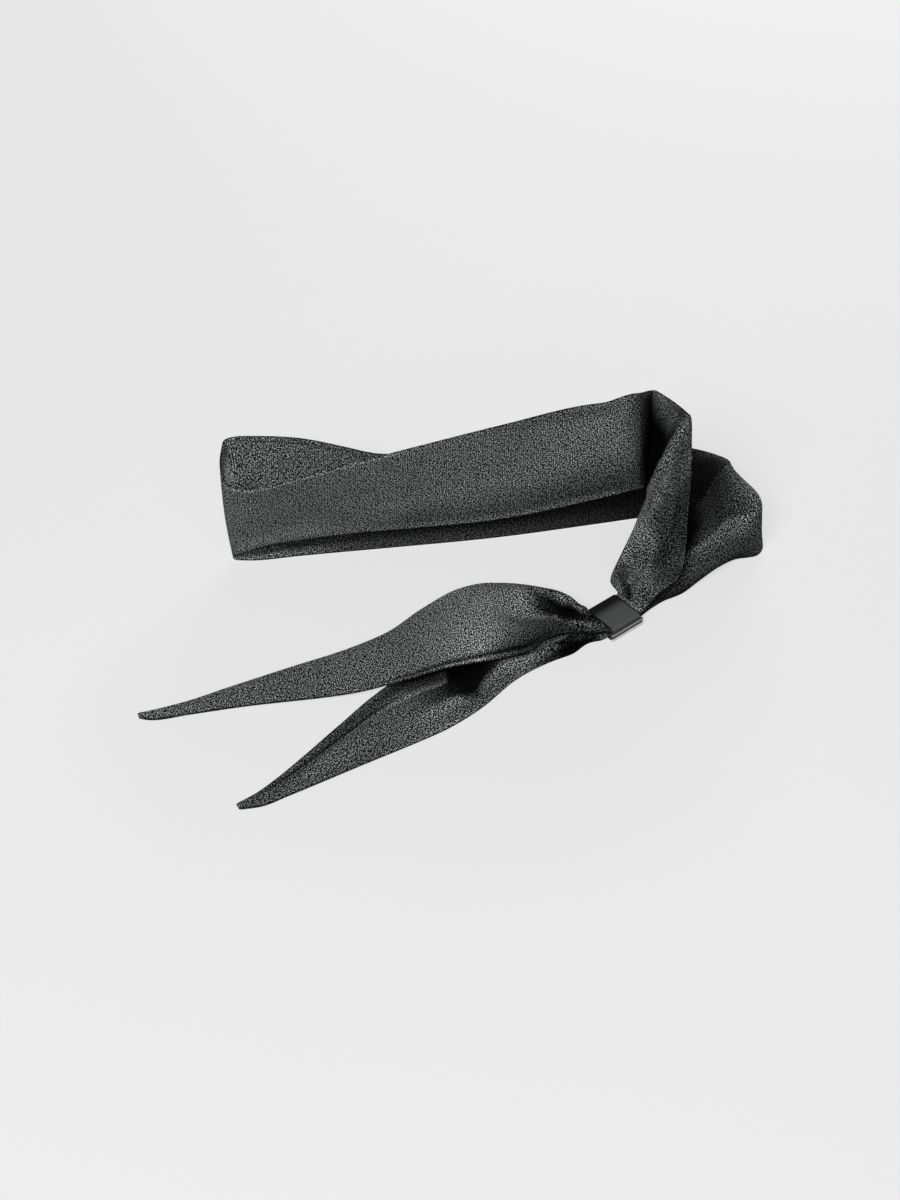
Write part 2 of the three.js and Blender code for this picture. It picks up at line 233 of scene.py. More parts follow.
# low edge, high edge, slopes of the facets
FRONT_TAIL = [
    ((-150, -81, 0.9), (-149, -84, 0.9), FLAT),
    ((-145, -79.5, 0.9), (-143, -85, 0.9), FLAT),
    ((-128, -73.5, 1), (-125, -81.5, 1), SOFT_CROWN),
    ((-106, -63, 1.2), (-100, -76.5, 1.2), SOFT_CROWN),
    ((-77, -50, 2), (-69.5, -72, 1.5), SOFT_CROWN),
    ((-50, -38.5, 3), (-41, -68.6, 4), (10, 6, 2, -2, -6, -10)),
    ((-30.5, -27.5, 4), (-20, -63.9, 7.4), (12, 7, 2, -2, -7, -12)),
    ((-13, -10, 4), (-3, -57.4, 8), (14, 8, 3, -3, -8, -14)),
    ((5, 4, 4), (14.5, -53.7, 9), (16, 10, 4, -4, -10, -16)),
    ((20, 8, 4), (27.5, -51.5, 10), (18, 6, -4, 6, -8, -18)),
    ((34, 4, 7), (39, -46.5, 9), (22, -12, -22, 24, 2, -18)),
    ((47, -2.5, 10), (49, -37.4, 9.5), (32, -36, -48, 56, 14, -22)),
    ((57.5, -9, 11), (60, -32.5, 8), (36, -30, -52, 62, 10, -26)),
    (slide_point(-PAST_MOUTH, -10.9, 11.4), slide_point(-PAST_MOUTH, 7.9, 6), (26, -30, -34, 44, 20, -24)),
    (slide_point(-BY_MOUTH, -8.7, 6.2), slide_point(-BY_MOUTH, 8, 5.4), (18, -18, -16, 24, 8, -16)),
]
UPPER_PASS = [
    (slide_point(along, -PASS_HALF_WIDTH, UPPER_PASS_Z), slide_point(along, PASS_HALF_WIDTH, UPPER_PASS_Z),
     PLEATED)
    for along in (-MOUTH, MOUTH)
]
print("front tail:", len(FRONT_TAIL), "sections, from", FRONT_TAIL[0][0], "to the slide")

# %% [markdown]
# ## Sections of the loop
#
# From the slide the strand rises to the peak, turns over, and becomes the near side of the
# loop, which stands on its long edge. The left fold brings it back as the far side, which
# shows its inner face, and the right fold leads towards the slide again.

# %% Sections of the loop
RISE_TO_PEAK = [
    (slide_point(PAST_MOUTH, -9.3, 6.2), slide_point(PAST_MOUTH, PASS_HALF_WIDTH, 5.6),
     (26, -26, 30, -30, 26, -26)),
    ((79.6, -1.8, 15), (103.5, -7.5, 11.5), (20, 34, -50, 20, -8, -22)),
    ((81.4, -1.8, 24), (114, 0, 17), (34, 22, -12, 6, -10, -30)),
    ((86.7, 2, 35.9), (116.3, 5, 29), (40, 20, 4, -8, -18, -36)),
    ((91.1, 8.8, 41.7), (117.5, 16.8, 47), (44, 22, 6, -8, -20, -38)),
    ((93.7, 14.6, 45), (118.4, 24, 62), (40, 22, 6, -8, -20, -34)),
    ((97.2, 22.5, 47.5), (117.6, 24.5, 85), (24, 14, 4, -6, -16, -24)),
    ((97.6, 25.2, 49.5), (115.8, 23, 100.8), (6, 4, 1, -1, -4, -6)),
    ((97.8, 29, 47.5), (113.2, 26.5, 101), FLAT),
    ((98, 40, 39), (105, 40, 98.5), FLAT),
    ((98.5, 46.5, 35), (99.8, 49, 95), FLAT),
    ((97.8, 45.5, 35.5), (97.5, 45, 98), FLAT),
]
NEAR_SIDE = [
    ((94.5, 41.5, 37.5), (91.5, 40.5, 100), FLAT),
    ((75, 39.5, 33), (73.5, 42, 92.5), FLAT),
    ((25, 34, 24), (24.5, 28, 90), FLAT),
    ((-15, 30, 22), (-14.5, 18, 85.5), FLAT),
    ((-48.5, 28, 20), (-47, 12, 79.5), FLAT),
    ((-77.5, 27, 16), (-75, 9, 72), FLAT),
    ((-99, 27, 10), (-95.5, 8, 66), FLAT),
]
LEFT_FOLD = [
    ((-109.5, 30.5, 2), (-108.5, 12, 65), (3, 2, 1, -1, -2, -3)),
    ((-109.5, 30, 0.8), (-113.5, 38, 62), (3, 2, 1, -1, -2, -3)),
    ((-107.5, 29, 0.5), (-113, 52, 60), FLAT),
]
FAR_SIDE = [
    ((-100.5, 29, 0.3), (-103, 56, 60), FLAT),
    ((-76, 32.5, 0.3), (-74.5, 49.5, 64), FLAT),
    ((-55, 35.5, 0.3), (-53.5, 41.5, 65.5), FLAT),
    ((-33, 38.5, 0.3), (-32, 35.5, 65.5), FLAT),
    ((25.5, 47, 0.3), (25, 42, 65), FLAT),
    ((77, 57.5, 0.3), (74.5, 51, 64), FLAT),
    ((100.5, 62.5, 0.3), (97, 51.5, 63), FLAT),
    ((124, 66.5, 0.3), (119.5, 46.5, 60), FLAT),
]
RIGHT_FOLD = [
    ((148, 61, 0.3), (132, 41, 60), (14, 9, 3, -3, -9, -14)),
    ((159, 39.5, 0.3), (138, 36, 60), (12, 16, 16, -22, -18, -4)),
    ((156.5, 33.5, 0.3), (135.5, 34, 59), (14, 16, 16, -22, -20, -4)),
]
print("loop:", sum(map(len, (RISE_TO_PEAK, NEAR_SIDE, LEFT_FOLD, FAR_SIDE, RIGHT_FOLD))), "sections")

# %% [markdown]
# ## Sections of the return and the back tail
#
# The cloth comes down from the right fold, is gathered, passes through the slide below the
# first strand, and spreads again as the back tail, which has a ridge and a hollow beside it.

# %% Sections of the return and the back tail
RETURN_TO_SLIDE = [
    ((144, 30, 0.4), (130, 27, 56), (34, 4, -26, -12, 0, 2)),
    ((135, 24, 0.4), (125.5, 21, 50), (40, -4, -30, -10, 2, 6)),
    ((125.5, 14.5, 0.5), (118, 20, 42.5), (44, -6, -36, -6, 6, 4)),
    ((116, 4.5, 0.6), (112, 13.5, 24), (40, 6, -40, -30, 10, 20)),
    ((105, -2.5, 0.8), (98.5, 5, 11), (40, 20, -40, -40, 10, 20)),
    (slide_point(PAST_MOUTH, 7.9, 2.2), slide_point(PAST_MOUTH, -7.5, 2.4), (20, -22, 22, -22, 20, -22)),
]
LOWER_PASS = [
    (slide_point(along, PASS_HALF_WIDTH, LOWER_PASS_Z), slide_point(along, -PASS_HALF_WIDTH, LOWER_PASS_Z),
     PLEATED)
    for along in (MOUTH, -MOUTH)
]
BACK_TAIL = [
    (slide_point(-PAST_MOUTH, 8.1, 2), slide_point(-PAST_MOUTH, -6.5, 2.2), (10, 16, -20, -16, 16, -10)),
    ((70, -31.5, 0.9), (61.5, -21.5, 2.5), (50, 30, -35, -35, 0, 10)),
    ((60, -40, 0.9), (48.5, -30, 3), (55, 30, -35, -35, 0, 10)),
    ((46.5, -47, 0.9), (34.5, -37.5, 3.5), (50, 30, -20, -36, 0, 10)),
    ((32, -58, 0.9), (16.5, -41, 4), (36, 22, 0, -34, -20, 10)),
    ((15.5, -77, 0.9), (-1, -50, 4), (24, 14, 4, -26, -24, 16)),
    ((0, -90.5, 0.9), (-20.5, -56, 3.5), (20, 10, 4, -16, -30, 26)),
    ((-17.5, -101.5, 0.9), (-37, -72, 4), (16, 10, 4, -14, -30, 26)),
    ((-37.5, -113, 0.9), (-53.5, -92.5, 4), (16, 10, 4, -16, -28, 26)),
    ((-58, -125, 0.9), (-69, -111, 3), (14, 8, 2, -16, -22, 22)),
    ((-74.5, -134.5, 0.9), (-81.5, -125, 2), (10, 8, 0, -12, -14, 14)),
    ((-87.5, -141.5, 0.9), (-91, -134, 1), FLAT),
    ((-98, -143.5, 0.9), (-99.5, -140.5, 0.9), FLAT),
]
print("return and back tail:", len(RETURN_TO_SLIDE) + len(LOWER_PASS) + len(BACK_TAIL), "sections")

# %% [markdown]
# ## All sections in a row
#
# The stretches follow one another as one strip of cloth. How far each section lies along the
# strip is the running sum of the steps between the sections' middles.

# %% All sections
STRETCHES = [
    ("front_tail", FRONT_TAIL), ("upper_pass", UPPER_PASS), ("rise", RISE_TO_PEAK), ("near_side", NEAR_SIDE),
    ("left_fold", LEFT_FOLD), ("far_side", FAR_SIDE), ("right_fold", RIGHT_FOLD), ("return", RETURN_TO_SLIDE),
    ("lower_pass", LOWER_PASS), ("back_tail", BACK_TAIL),
]
sections = [row for _, rows in STRETCHES for row in rows]
section_names = [(name, i) for name, rows in STRETCHES for i in range(len(rows))]
lows = np.array([row[0] for row in sections], float)
highs = np.array([row[1] for row in sections], float)
slopes = np.array([row[2] for row in sections], float)
middles = (lows + highs) / 2
stations = np.concatenate([[0.0], np.cumsum(np.linalg.norm(np.diff(middles, axis=0), axis=1))])
print(len(sections), "sections along", round(stations[-1]), "mm of cloth")

# %% [markdown]
# ## From the table to a surface
#
# Between the rows every number follows a smooth curve. The curve is held back where it would
# overshoot, so that the cloth stays inside the slide. Across the strip the facets' slopes are
# blended, added up into an outline, and the outline is scaled to reach from edge to edge.

# %% Curves and outlines
SLOPE_LIMIT = 2.2
FACETS = 6


def eased(share):
    """A share from 0 to 1 that starts and ends gently: its square times 3 minus twice itself."""
    return share * share * (3 - 2 * share)


def smooth_curve(at, values, places):
    """Cubic pieces through the rows; a slope is the mean of its neighbours' slopes, and at
    most SLOPE_LIMIT times the flatter one, or zero where the values turn back."""
    values = np.asarray(values, float)
    spans = np.diff(at)
    rates = np.diff(values, axis=0) / spans[:, None]
    slope = np.empty_like(values)
    slope[0], slope[-1] = rates[0], rates[-1]
    before, after = rates[:-1], rates[1:]
    span_before, span_after = spans[:-1, None], spans[1:, None]
    mean = (before * span_after + after * span_before) / (span_before + span_after)
    limit = SLOPE_LIMIT * np.minimum(abs(before), abs(after))
    slope[1:-1] = np.where(before * after > 0, np.sign(mean) * np.minimum(abs(mean), limit), 0.0)
    row = np.clip(np.searchsorted(at, places, side="right") - 1, 0, len(at) - 2)
    t = ((places - at[row]) / spans[row])[:, None]
    bend = 2 * t**3 - 3 * t**2
    leave = slope[row] * (t**3 - 2 * t**2 + t)
    arrive = slope[row + 1] * (t**3 - t**2)
    return values[row] * (bend + 1) - values[row + 1] * bend + spans[row, None] * (leave + arrive)


def facet_slopes(folds, across):
    """The slope at each share of the way across, blended smoothly between facet middles."""
    place = across * FACETS - 0.5
    first = np.clip(np.floor(place).astype(int), 0, FACETS - 2)
    blend = eased(np.clip(place - first, 0, 1))
    return np.radians(folds[:, first] * (1 - blend) + folds[:, first + 1] * blend)


def strip_surface(places, shares):
    """One point for each place along the strip and each share of the way across: the low edge,
    plus the running sum of the facets' cosines along the chord and of their sines outwards."""
    low = smooth_curve(stations, lows, places)
    high = smooth_curve(stations, highs, places)
    folds = smooth_curve(stations, slopes, places)
    travel = np.gradient((low + high) / 2, axis=0)
    chord = high - low
    length = np.linalg.norm(chord, axis=1, keepdims=True)
    chord = chord / length
    outward = np.cross(chord, travel)
    outward /= np.linalg.norm(outward, axis=1, keepdims=True)
    steps = np.diff(shares)
    slope = facet_slopes(folds, (shares[1:] + shares[:-1]) / 2)
    start = np.zeros((len(places), 1))
    across = np.hstack([start, np.cumsum(np.cos(slope) * steps, axis=1)])
    out = np.hstack([start, np.cumsum(np.sin(slope) * steps, axis=1)])
    end_across, end_out = across[:, -1:], out[:, -1:]
    reach = np.hypot(end_across, end_out)
    along_chord = (across * end_across + out * end_out) / reach**2 * length
    off_chord = (out * end_across - across * end_out) / reach**2 * length
    points = low[:, None] + chord[:, None] * along_chord[:, :, None]
    points += outward[:, None] * off_chord[:, :, None]
    return points, (length / reach)[:, 0]


def grid_normals(points):
    """The outward direction at each point: across the strip, crossed with along it."""
    normal = np.cross(np.gradient(points, axis=1), np.gradient(points, axis=0))
    return normal / np.linalg.norm(normal, axis=2, keepdims=True)


# %% [markdown]
# ## Creases and rolled folds
#
# The sections give the strip its large shape. Where the cloth is squeezed into the slide it has
# narrower folds with sharp backs: a dent with a lip on the front tail, and a ridge with a
# hollow under it on the back tail. Further out are the groove of the front tail's hem and two
# creases of the back tail. Each is a line on the cloth with a height. Beside the line the
# height dies away, faster on one side than on the other, which is what makes a lip instead of a
# hump. A crisp fold keeps a sharp back, a soft one is round.

# %% Table of folds
# stretch and kind, then for each row: its number, share of the way across, height, and reach
# towards the low and the high edge
FOLDS = [
    ("front_tail", "crisp", [
        (10.4, 0.3, 0, 3, 8), (10.7, 0.376, 1.5, 3, 9), (11.1, 0.46, 3, 3, 9), (11.45, 0.5, 4, 2.6, 9),
        (12, 0.54, 4, 2.2, 7), (12.6, 0.6, 3.2, 1.8, 5), (13.2, 0.72, 2, 1.5, 3), (13.9, 0.85, 0.6, 1.5, 2)]),
    ("front_tail", "soft", [
        (10.5, 0.2, 0, 6, 6), (10.9, 0.295, -2, 6, 6), (11.3, 0.38, -4, 7, 5), (12, 0.42, -4, 6, 4),
        (12.5, 0.48, -3, 5, 3), (13.2, 0.6, -2, 4, 3), (13.9, 0.75, -0.5, 3, 2)]),
    ("front_tail", "soft", [
        (10.8, 0.05, 0, 3, 5), (11.5, 0.13, 1.2, 4, 5), (12.2, 0.19, 1.5, 4, 5), (13, 0.32, 1.2, 4, 4),
        (13.6, 0.5, 0.8, 4, 3), (13.95, 0.6, 0, 3, 3)]),
    ("front_tail", "crisp", [
        (5.6, 0.965, 0, 1.4, 1.4), (6.3, 0.965, -0.7, 1.4, 1.4), (8.8, 0.96, -0.8, 1.4, 1.6),
        (9.3, 0.97, 0, 1.4, 1)]),
    ("back_tail", "crisp", [
        (0.1, 0.18, 1, 1.5, 5), (1, 0.19, 2.5, 1.6, 6), (1.5, 0.27, 3, 1.8, 7), (1.9, 0.33, 3, 2, 8),
        (2.25, 0.33, 3, 2, 9), (2.55, 0.3, 2.5, 2, 9), (2.8, 0.26, 1.5, 3, 9), (3.2, 0.15, 0, 3, 8)]),
    ("back_tail", "soft", [
        (0.3, 0.1, -0.6, 3, 3), (1.1, 0.12, -1.2, 3, 3), (1.7, 0.18, -2, 4, 4), (2, 0.2, -2, 5, 4),
        (2.3, 0.18, -1.6, 5, 4), (2.9, 0.1, 0, 4, 4)]),
    ("back_tail", "crisp", [
        (5.4, 0.8, 0, 2, 3), (6, 0.785, -0.5, 2, 3), (6.5, 0.78, -0.9, 2, 3), (7.4, 0.775, -1, 1.8, 3),
        (8.2, 0.78, -1, 1.6, 3), (8.9, 0.79, -1, 1.5, 2.5), (10, 0.78, -0.8, 1.2, 1.6),
        (11.2, 0.8, 0, 1, 1)]),
    ("back_tail", "crisp", [
        (5.4, 0.52, 0, 2, 2), (6.1, 0.6, -0.4, 2, 2), (7.1, 0.68, -0.4, 2, 2), (7.9, 0.7, 0, 2, 2)]),
]


print(len(FOLDS), "folds, the highest", max(abs(row[2]) for fold in FOLDS for row in fold[2]), "mm")

# %% [markdown]
# ## From a line to a form
#
# A line's rows are placed along the strip, and its centre, height and two reaches follow a
# smooth curve between them, as the sections do. The form at a point then depends only on how
# far across the cloth it is from the centre. Sculpting would give such folds too, but not the
# same ones each time.

# %% Form of a line
CRISP_POWER = 1.6


def row_station(stretch, row):
    """How far along the strip a row number lies; the count may run on into the next stretch."""
    first = section_names.index((stretch, 0))
    return float(np.interp(first + row, np.arange(len(stations)), stations))


def line_form(kind, numbers, at, places, width, shares):
    """Amount times form: left is 1 on the line and falls to 0 at the reach on either side.
    A crisp line is left to the power CRISP_POWER, a soft one is left, eased, and a broad one is
    full up to half its reach, then soft."""
    form = np.zeros((len(places), len(shares)))
    inside = (places >= at[0]) & (places <= at[-1])
    centre, amount, reach_low, reach_high = smooth_curve(at, numbers[:, 1:], places[inside]).T
    away = (shares[None, :] - centre[:, None]) * width[inside, None]
    reach = np.where(away < 0, reach_low[:, None], reach_high[:, None])
    left = np.clip((1 - abs(away) / reach) * (2 if kind == "broad" else 1), 0, 1)
    form[inside] = amount[:, None] * (left**CRISP_POWER if kind == "crisp" else eased(left))
    return form


def all_forms(table, places, width, shares):
    """The form of every line of a table, one after the other."""
    for stretch, kind, rows in table:
        numbers = np.array(rows, float)
        at = np.array([row_station(stretch, row) for row in numbers[:, 0]])
        yield line_form(kind, numbers, at, places, width, shares)


print("the first fold starts", round(row_station(FOLDS[0][0], FOLDS[0][2][0][0])), "mm from the front tip")

# %% [markdown]
# ## Where shade gathers
#
# Soft lamps on plain cloth don't give all the contrast of the photograph: there, deep folds are
# almost black and some ridges and corners are far lighter. The same kind of line makes up for
# that. It says where shade lies and how much of the light it takes, and a minus share is light
# that is gained. The amounts were set by comparing the tones of render and photograph at points
# along the strip, so they hold the shadows of that one lighting, and they stay on the cloth when
# it is lit another way. Lamps alone would be cleaner, but this scene's three don't reach that.
#
# The far side shows its inner face, so its lines stay off the outer one. Those of the near side
# and of the rise stay off the inner one, and all other lines act on both. The first table is
# the rise: the strand from the slide to the peak, and the valley behind it.

# %% Shade of the rise
# stretch and kind, then for each row: its number, share of the way across, share of the light
# that is lost, and reach towards the low and the high edge
RISE_SHADES = [
    # valley between the near side and the wall that leads to the peak
    ("rise", "broad", [
        (7.35, 0.9, 0, 2, 6), (7.5, 0.8, 0.4, 2, 8), (7.7, 0.66, 0.7, 1.6, 16), (7.9, 0.46, 0.88, 1.6, 30),
        (8.05, 0.33, 0.95, 1.6, 38), (8.12, 0.1, 0.97, 200, 52), (8.3, 0.25, 0.985, 200, 38),
        (9, 0.3, 0.987, 200, 42), (9.5, 0.35, 0.987, 200, 38), (10, 0.4, 0.985, 200, 38),
        (10.5, 0.4, 0.98, 200, 44), (11, 0.7, 0.92, 60, 26), (11.5, 0.72, 0.85, 45, 24),
        (12, 0.6, 0.65, 70, 60), (12.3, 0.5, 0.3, 90, 80), (12.7, 0.5, 0.0, 90, 80)]),
    # strand that climbs from the slide, and its darker right half
    ("rise", "broad", [
        (0.1, 0.5, 0.1, 120, 120), (0.8, 0.5, 0.25, 120, 120), (2, 0.5, 0.32, 120, 120),
        (3, 0.55, 0.24, 60, 120), (4.2, 0.55, 0.2, 60, 120), (5, 0.5, 0.32, 90, 120),
        (5.6, 0.5, 0.36, 120, 120), (7, 0.5, 0.38, 120, 120), (8, 0.5, 0.42, 120, 120),
        (8.6, 0.75, 0.45, 60, 22), (9.2, 0.8, 0.1, 20, 20), (9.6, 0.8, 0, 20, 20)]),
    ("rise", "broad", [
        (0, 0.82, 0.4, 14, 60), (1, 0.82, 0.5, 16, 60), (1.6, 0.8, 0.5, 12, 60), (2, 0.76, 0.6, 12, 50),
        (2.5, 0.7, 0.6, 10, 20), (3, 0.68, 0.74, 9, 28), (3.5, 0.75, 0.71, 16, 60), (4, 0.82, 0.71, 24, 60),
        (4.5, 0.85, 0.66, 26, 60), (5, 0.8, 0.38, 20, 60), (5.5, 0.73, 0.4, 10, 12), (6, 0.72, 0.3, 8, 8),
        (6.6, 0.7, 0.35, 8, 8), (7.2, 0.7, 0, 8, 8)]),
    ("rise", "soft", [
        (0, 0.42, 0.5, 5, 4), (0.4, 0.47, 0.95, 5, 2.5), (0.7, 0.42, 0.95, 5, 3), (1, 0.34, 0.8, 5, 3.5),
        (1.4, 0.2, 0.8, 6, 5), (2, 0.14, 0.55, 6, 7), (2.6, 0.12, 0, 6, 8)]),
    ("rise", "soft", [
        (0.1, 0.6, 0, 2, 3), (0.5, 0.6, -0.3, 2, 4), (1, 0.5, -0.3, 3, 5), (1.6, 0.4, 0, 4, 6)]),
    ("rise", "broad", [
        (2.2, 0.4, 0, 8, 8), (2.8, 0.4, 0.45, 13, 12), (3.3, 0.4, 0.15, 12, 10), (3.8, 0.42, 0, 8, 8)]),
    ("rise", "soft", [(0.1, 0.28, 0, 5, 6), (0.45, 0.28, -2, 6, 6), (1, 0.28, 0, 5, 5)]),
    ("rise", "soft", [
        (0.8, 0.58, 0, 8, 12), (1.2, 0.58, -0.6, 8, 14), (2, 0.47, -0.7, 5, 8), (2.5, 0.46, 0, 5, 8)]),
    ("rise", "soft", [
        (2.3, 0.93, 0, 8, 6), (2.8, 0.93, -1.2, 8, 6), (3.3, 0.93, 0, 8, 6), (4.9, 0.95, 0, 8, 6),
        (5.3, 0.95, -1.2, 10, 6), (5.8, 0.95, 0, 8, 6)]),
    # small folds of the strand beside its left edge and half way up, and its dark right edge
    ("rise", "crisp", [
        (3.2, 0.62, 0, 1, 4), (3.7, 0.66, 0.6, 1, 6), (4.2, 0.7, 0.65, 1, 5), (4.9, 0.78, 0, 1, 3)]),
    ("rise", "crisp", [
        (4.6, 0.2, 0, 1.2, 3), (5, 0.17, 0.7, 1.2, 4), (5.4, 0.2, 0.6, 1.2, 4), (5.9, 0.26, 0, 1.2, 3)]),
    ("rise", "crisp", [
        (4.7, 0.5, 0, 1, 4), (5.1, 0.44, 0.65, 1, 5), (5.5, 0.38, 0.65, 1, 5), (5.9, 0.33, 0, 1, 3)]),
    ("rise", "soft", [
        (7, 0.95, 0, 5, 9), (7.5, 0.95, 0.65, 6, 9), (8.1, 0.97, 0.55, 6, 9), (8.5, 0.97, 0, 6, 9)]),
    ("rise", "soft", [
        (5.2, 0.05, 0, 3, 6), (5.7, 0.06, -0.35, 4, 8), (6.4, 0.1, -0.35, 5, 8), (7, 0.12, -0.4, 5, 8),
        (7.6, 0.2, 0, 5, 8)]),
    # lit rims along the ridge of the strand and along its right edge
    ("rise", "soft", [
        (0.6, 0.985, 0, 1, 1), (1.5, 0.985, -0.9, 1.5, 2), (3, 0.985, -0.9, 1.5, 2),
        (4.5, 0.985, -0.5, 1.5, 2), (5.2, 0.985, 0, 1, 1)]),
    ("rise", "soft", [
        (6.6, 0.5, 0, 20, 30), (7.2, 0.5, -0.35, 20, 30), (7.6, 0.3, -0.3, 14, 12), (7.95, 0.15, 0, 8, 8)]),
]
print(len(RISE_SHADES), "lines of shade on the rise")

# %% [markdown]
# ## Shade of the loop's two sides
#
# Under the near side's low edge a band of the far side shows, and it is almost black. The far
# side is also seen above the near side, as a wedge that is lightest beside the left fold.

# %% Shade of the sides
SIDE_SHADES = [
    # near side towards its low edge, and the band of the far side below it
    ("near_side", "soft", [
        (0.1, 0.06, 0.5, 12, 28), (0.6, 0.09, 0.72, 8, 30), (1, 0.09, 0.72, 7, 28), (2, 0.09, 0.5, 6, 24),
        (3, 0.1, 0.45, 6, 18), (4, 0.1, 0, 6, 14), (5, 0.1, -0.5, 6, 16), (6, 0.1, -0.4, 6, 16),
        (6.8, 0.1, 0, 6, 12)]),
    ("far_side", "soft", [
        (-2.4, 0.03, 0, 2, 3), (-1.4, 0.05, 0.85, 2.2, 8), (-0.6, 0.08, 0.97, 3, 12),
        (0, 0.11, 0.98, 5, 14), (0.6, 0.17, 0.98, 9, 20), (1.2, 0.22, 0.96, 18, 24),
        (2, 0.25, 0.92, 30, 25), (4, 0.25, 0.94, 34, 30), (4.8, 0.25, 0.92, 50, 40),
        (5.6, 0.25, 0.93, 60, 50), (6.2, 0.3, 0.93, 70, 60), (6.8, 0.35, 0, 70, 60)]),
    ("near_side", "broad", [
        (0.4, 0.5, 0, 200, 200), (0.8, 0.5, 0.08, 200, 200), (5, 0.5, 0.06, 200, 200),
        (6, 0.5, 0, 200, 200)]),
    ("near_side", "soft", [
        (0.3, 0.93, 0, 6, 6), (0.7, 0.93, 0.35, 7, 6), (1.5, 0.94, 0.3, 6, 6), (2.4, 0.95, 0, 6, 6)]),
    ("near_side", "soft", [
        (2.6, 0.99, 0, 2, 3), (3.4, 0.99, -0.8, 1.8, 3), (5, 0.99, -1.2, 1.8, 3), (6, 0.99, -1.4, 1.8, 3),
        (7.2, 0.98, -1, 2, 3)]),
    # upper part of the far side's inner face, behind the near side: the corner beside the left
    # fold catches more light, and a row of stitches runs below the top edge
    ("far_side", "soft", [
        (-1.9, 0.76, 0, 8, 12), (-1.6, 0.75, -4.5, 8, 12), (-1.2, 0.72, -6, 10, 15), (-1, 0.7, -5, 10, 16),
        (-0.8, 0.68, -3, 10, 14), (-0.6, 0.66, -1.8, 9, 11), (-0.3, 0.64, -0.7, 8, 8), (0, 0.64, 0, 8, 8)]),
    ("far_side", "broad", [
        (-0.6, 0.8, 0, 30, 60), (-0.1, 0.8, 0.28, 30, 60), (0.6, 0.8, 0.32, 30, 60), (3, 0.8, 0.42, 30, 60),
        (5, 0.8, 0.5, 30, 60), (6, 0.8, 0, 30, 60)]),
    ("far_side", "soft", [
        (-0.6, 0.955, 0, 0.8, 0.8), (-0.2, 0.955, 0.6, 0.9, 0.9), (2.4, 0.955, 0.6, 0.9, 0.9),
        (3.2, 0.955, 0.3, 0.8, 0.8), (6, 0.955, 0, 0.8, 0.8)]),
    # shadow line right under the near side's low edge
    ("far_side", "soft", [
        (-1.6, 0.037, 0, 1, 1.5), (-1, 0.037, 0.66, 1, 1.6), (-0.5, 0.044, 0.7, 1.2, 1.8),
        (0, 0.052, 0.76, 1.5, 2), (0.5, 0.08, 0.82, 3, 2.4), (1, 0.105, 0.8, 6, 2.4),
        (1.5, 0.112, 0.62, 4, 1.6), (2, 0.125, 0.6, 3.5, 1.2), (3, 0.14, 0.3, 3, 1.2), (4, 0.16, 0, 3, 1.5)]),
    # dark line under the far side's low edge
    ("far_side", "soft", [
        (-1, 0.004, 0, 1, 0.7), (-0.2, 0.004, 0.9, 1, 0.9), (3, 0.004, 0.97, 1, 1.1),
        (6.4, 0.004, 0.97, 1, 1.1), (7.2, 0.004, 0, 1, 1)]),
    # inside of the right fold
    ("far_side", "broad", [
        (6, 0.4, 0, 60, 60), (6.5, 0.4, 0.7, 60, 52), (7, 0.4, 0.86, 90, 46), (7.6, 0.45, 0.86, 70, 42),
        (8.4, 0.5, 0, 60, 40)]),
]
print(len(SIDE_SHADES), "lines of shade on the sides")

# %% [markdown]
# ## Shade of the front tail
#
# Beside the slide the front tail is gathered round a deep dent. The dent is dark, and the lobe
# above it and the lip below it catch the light.

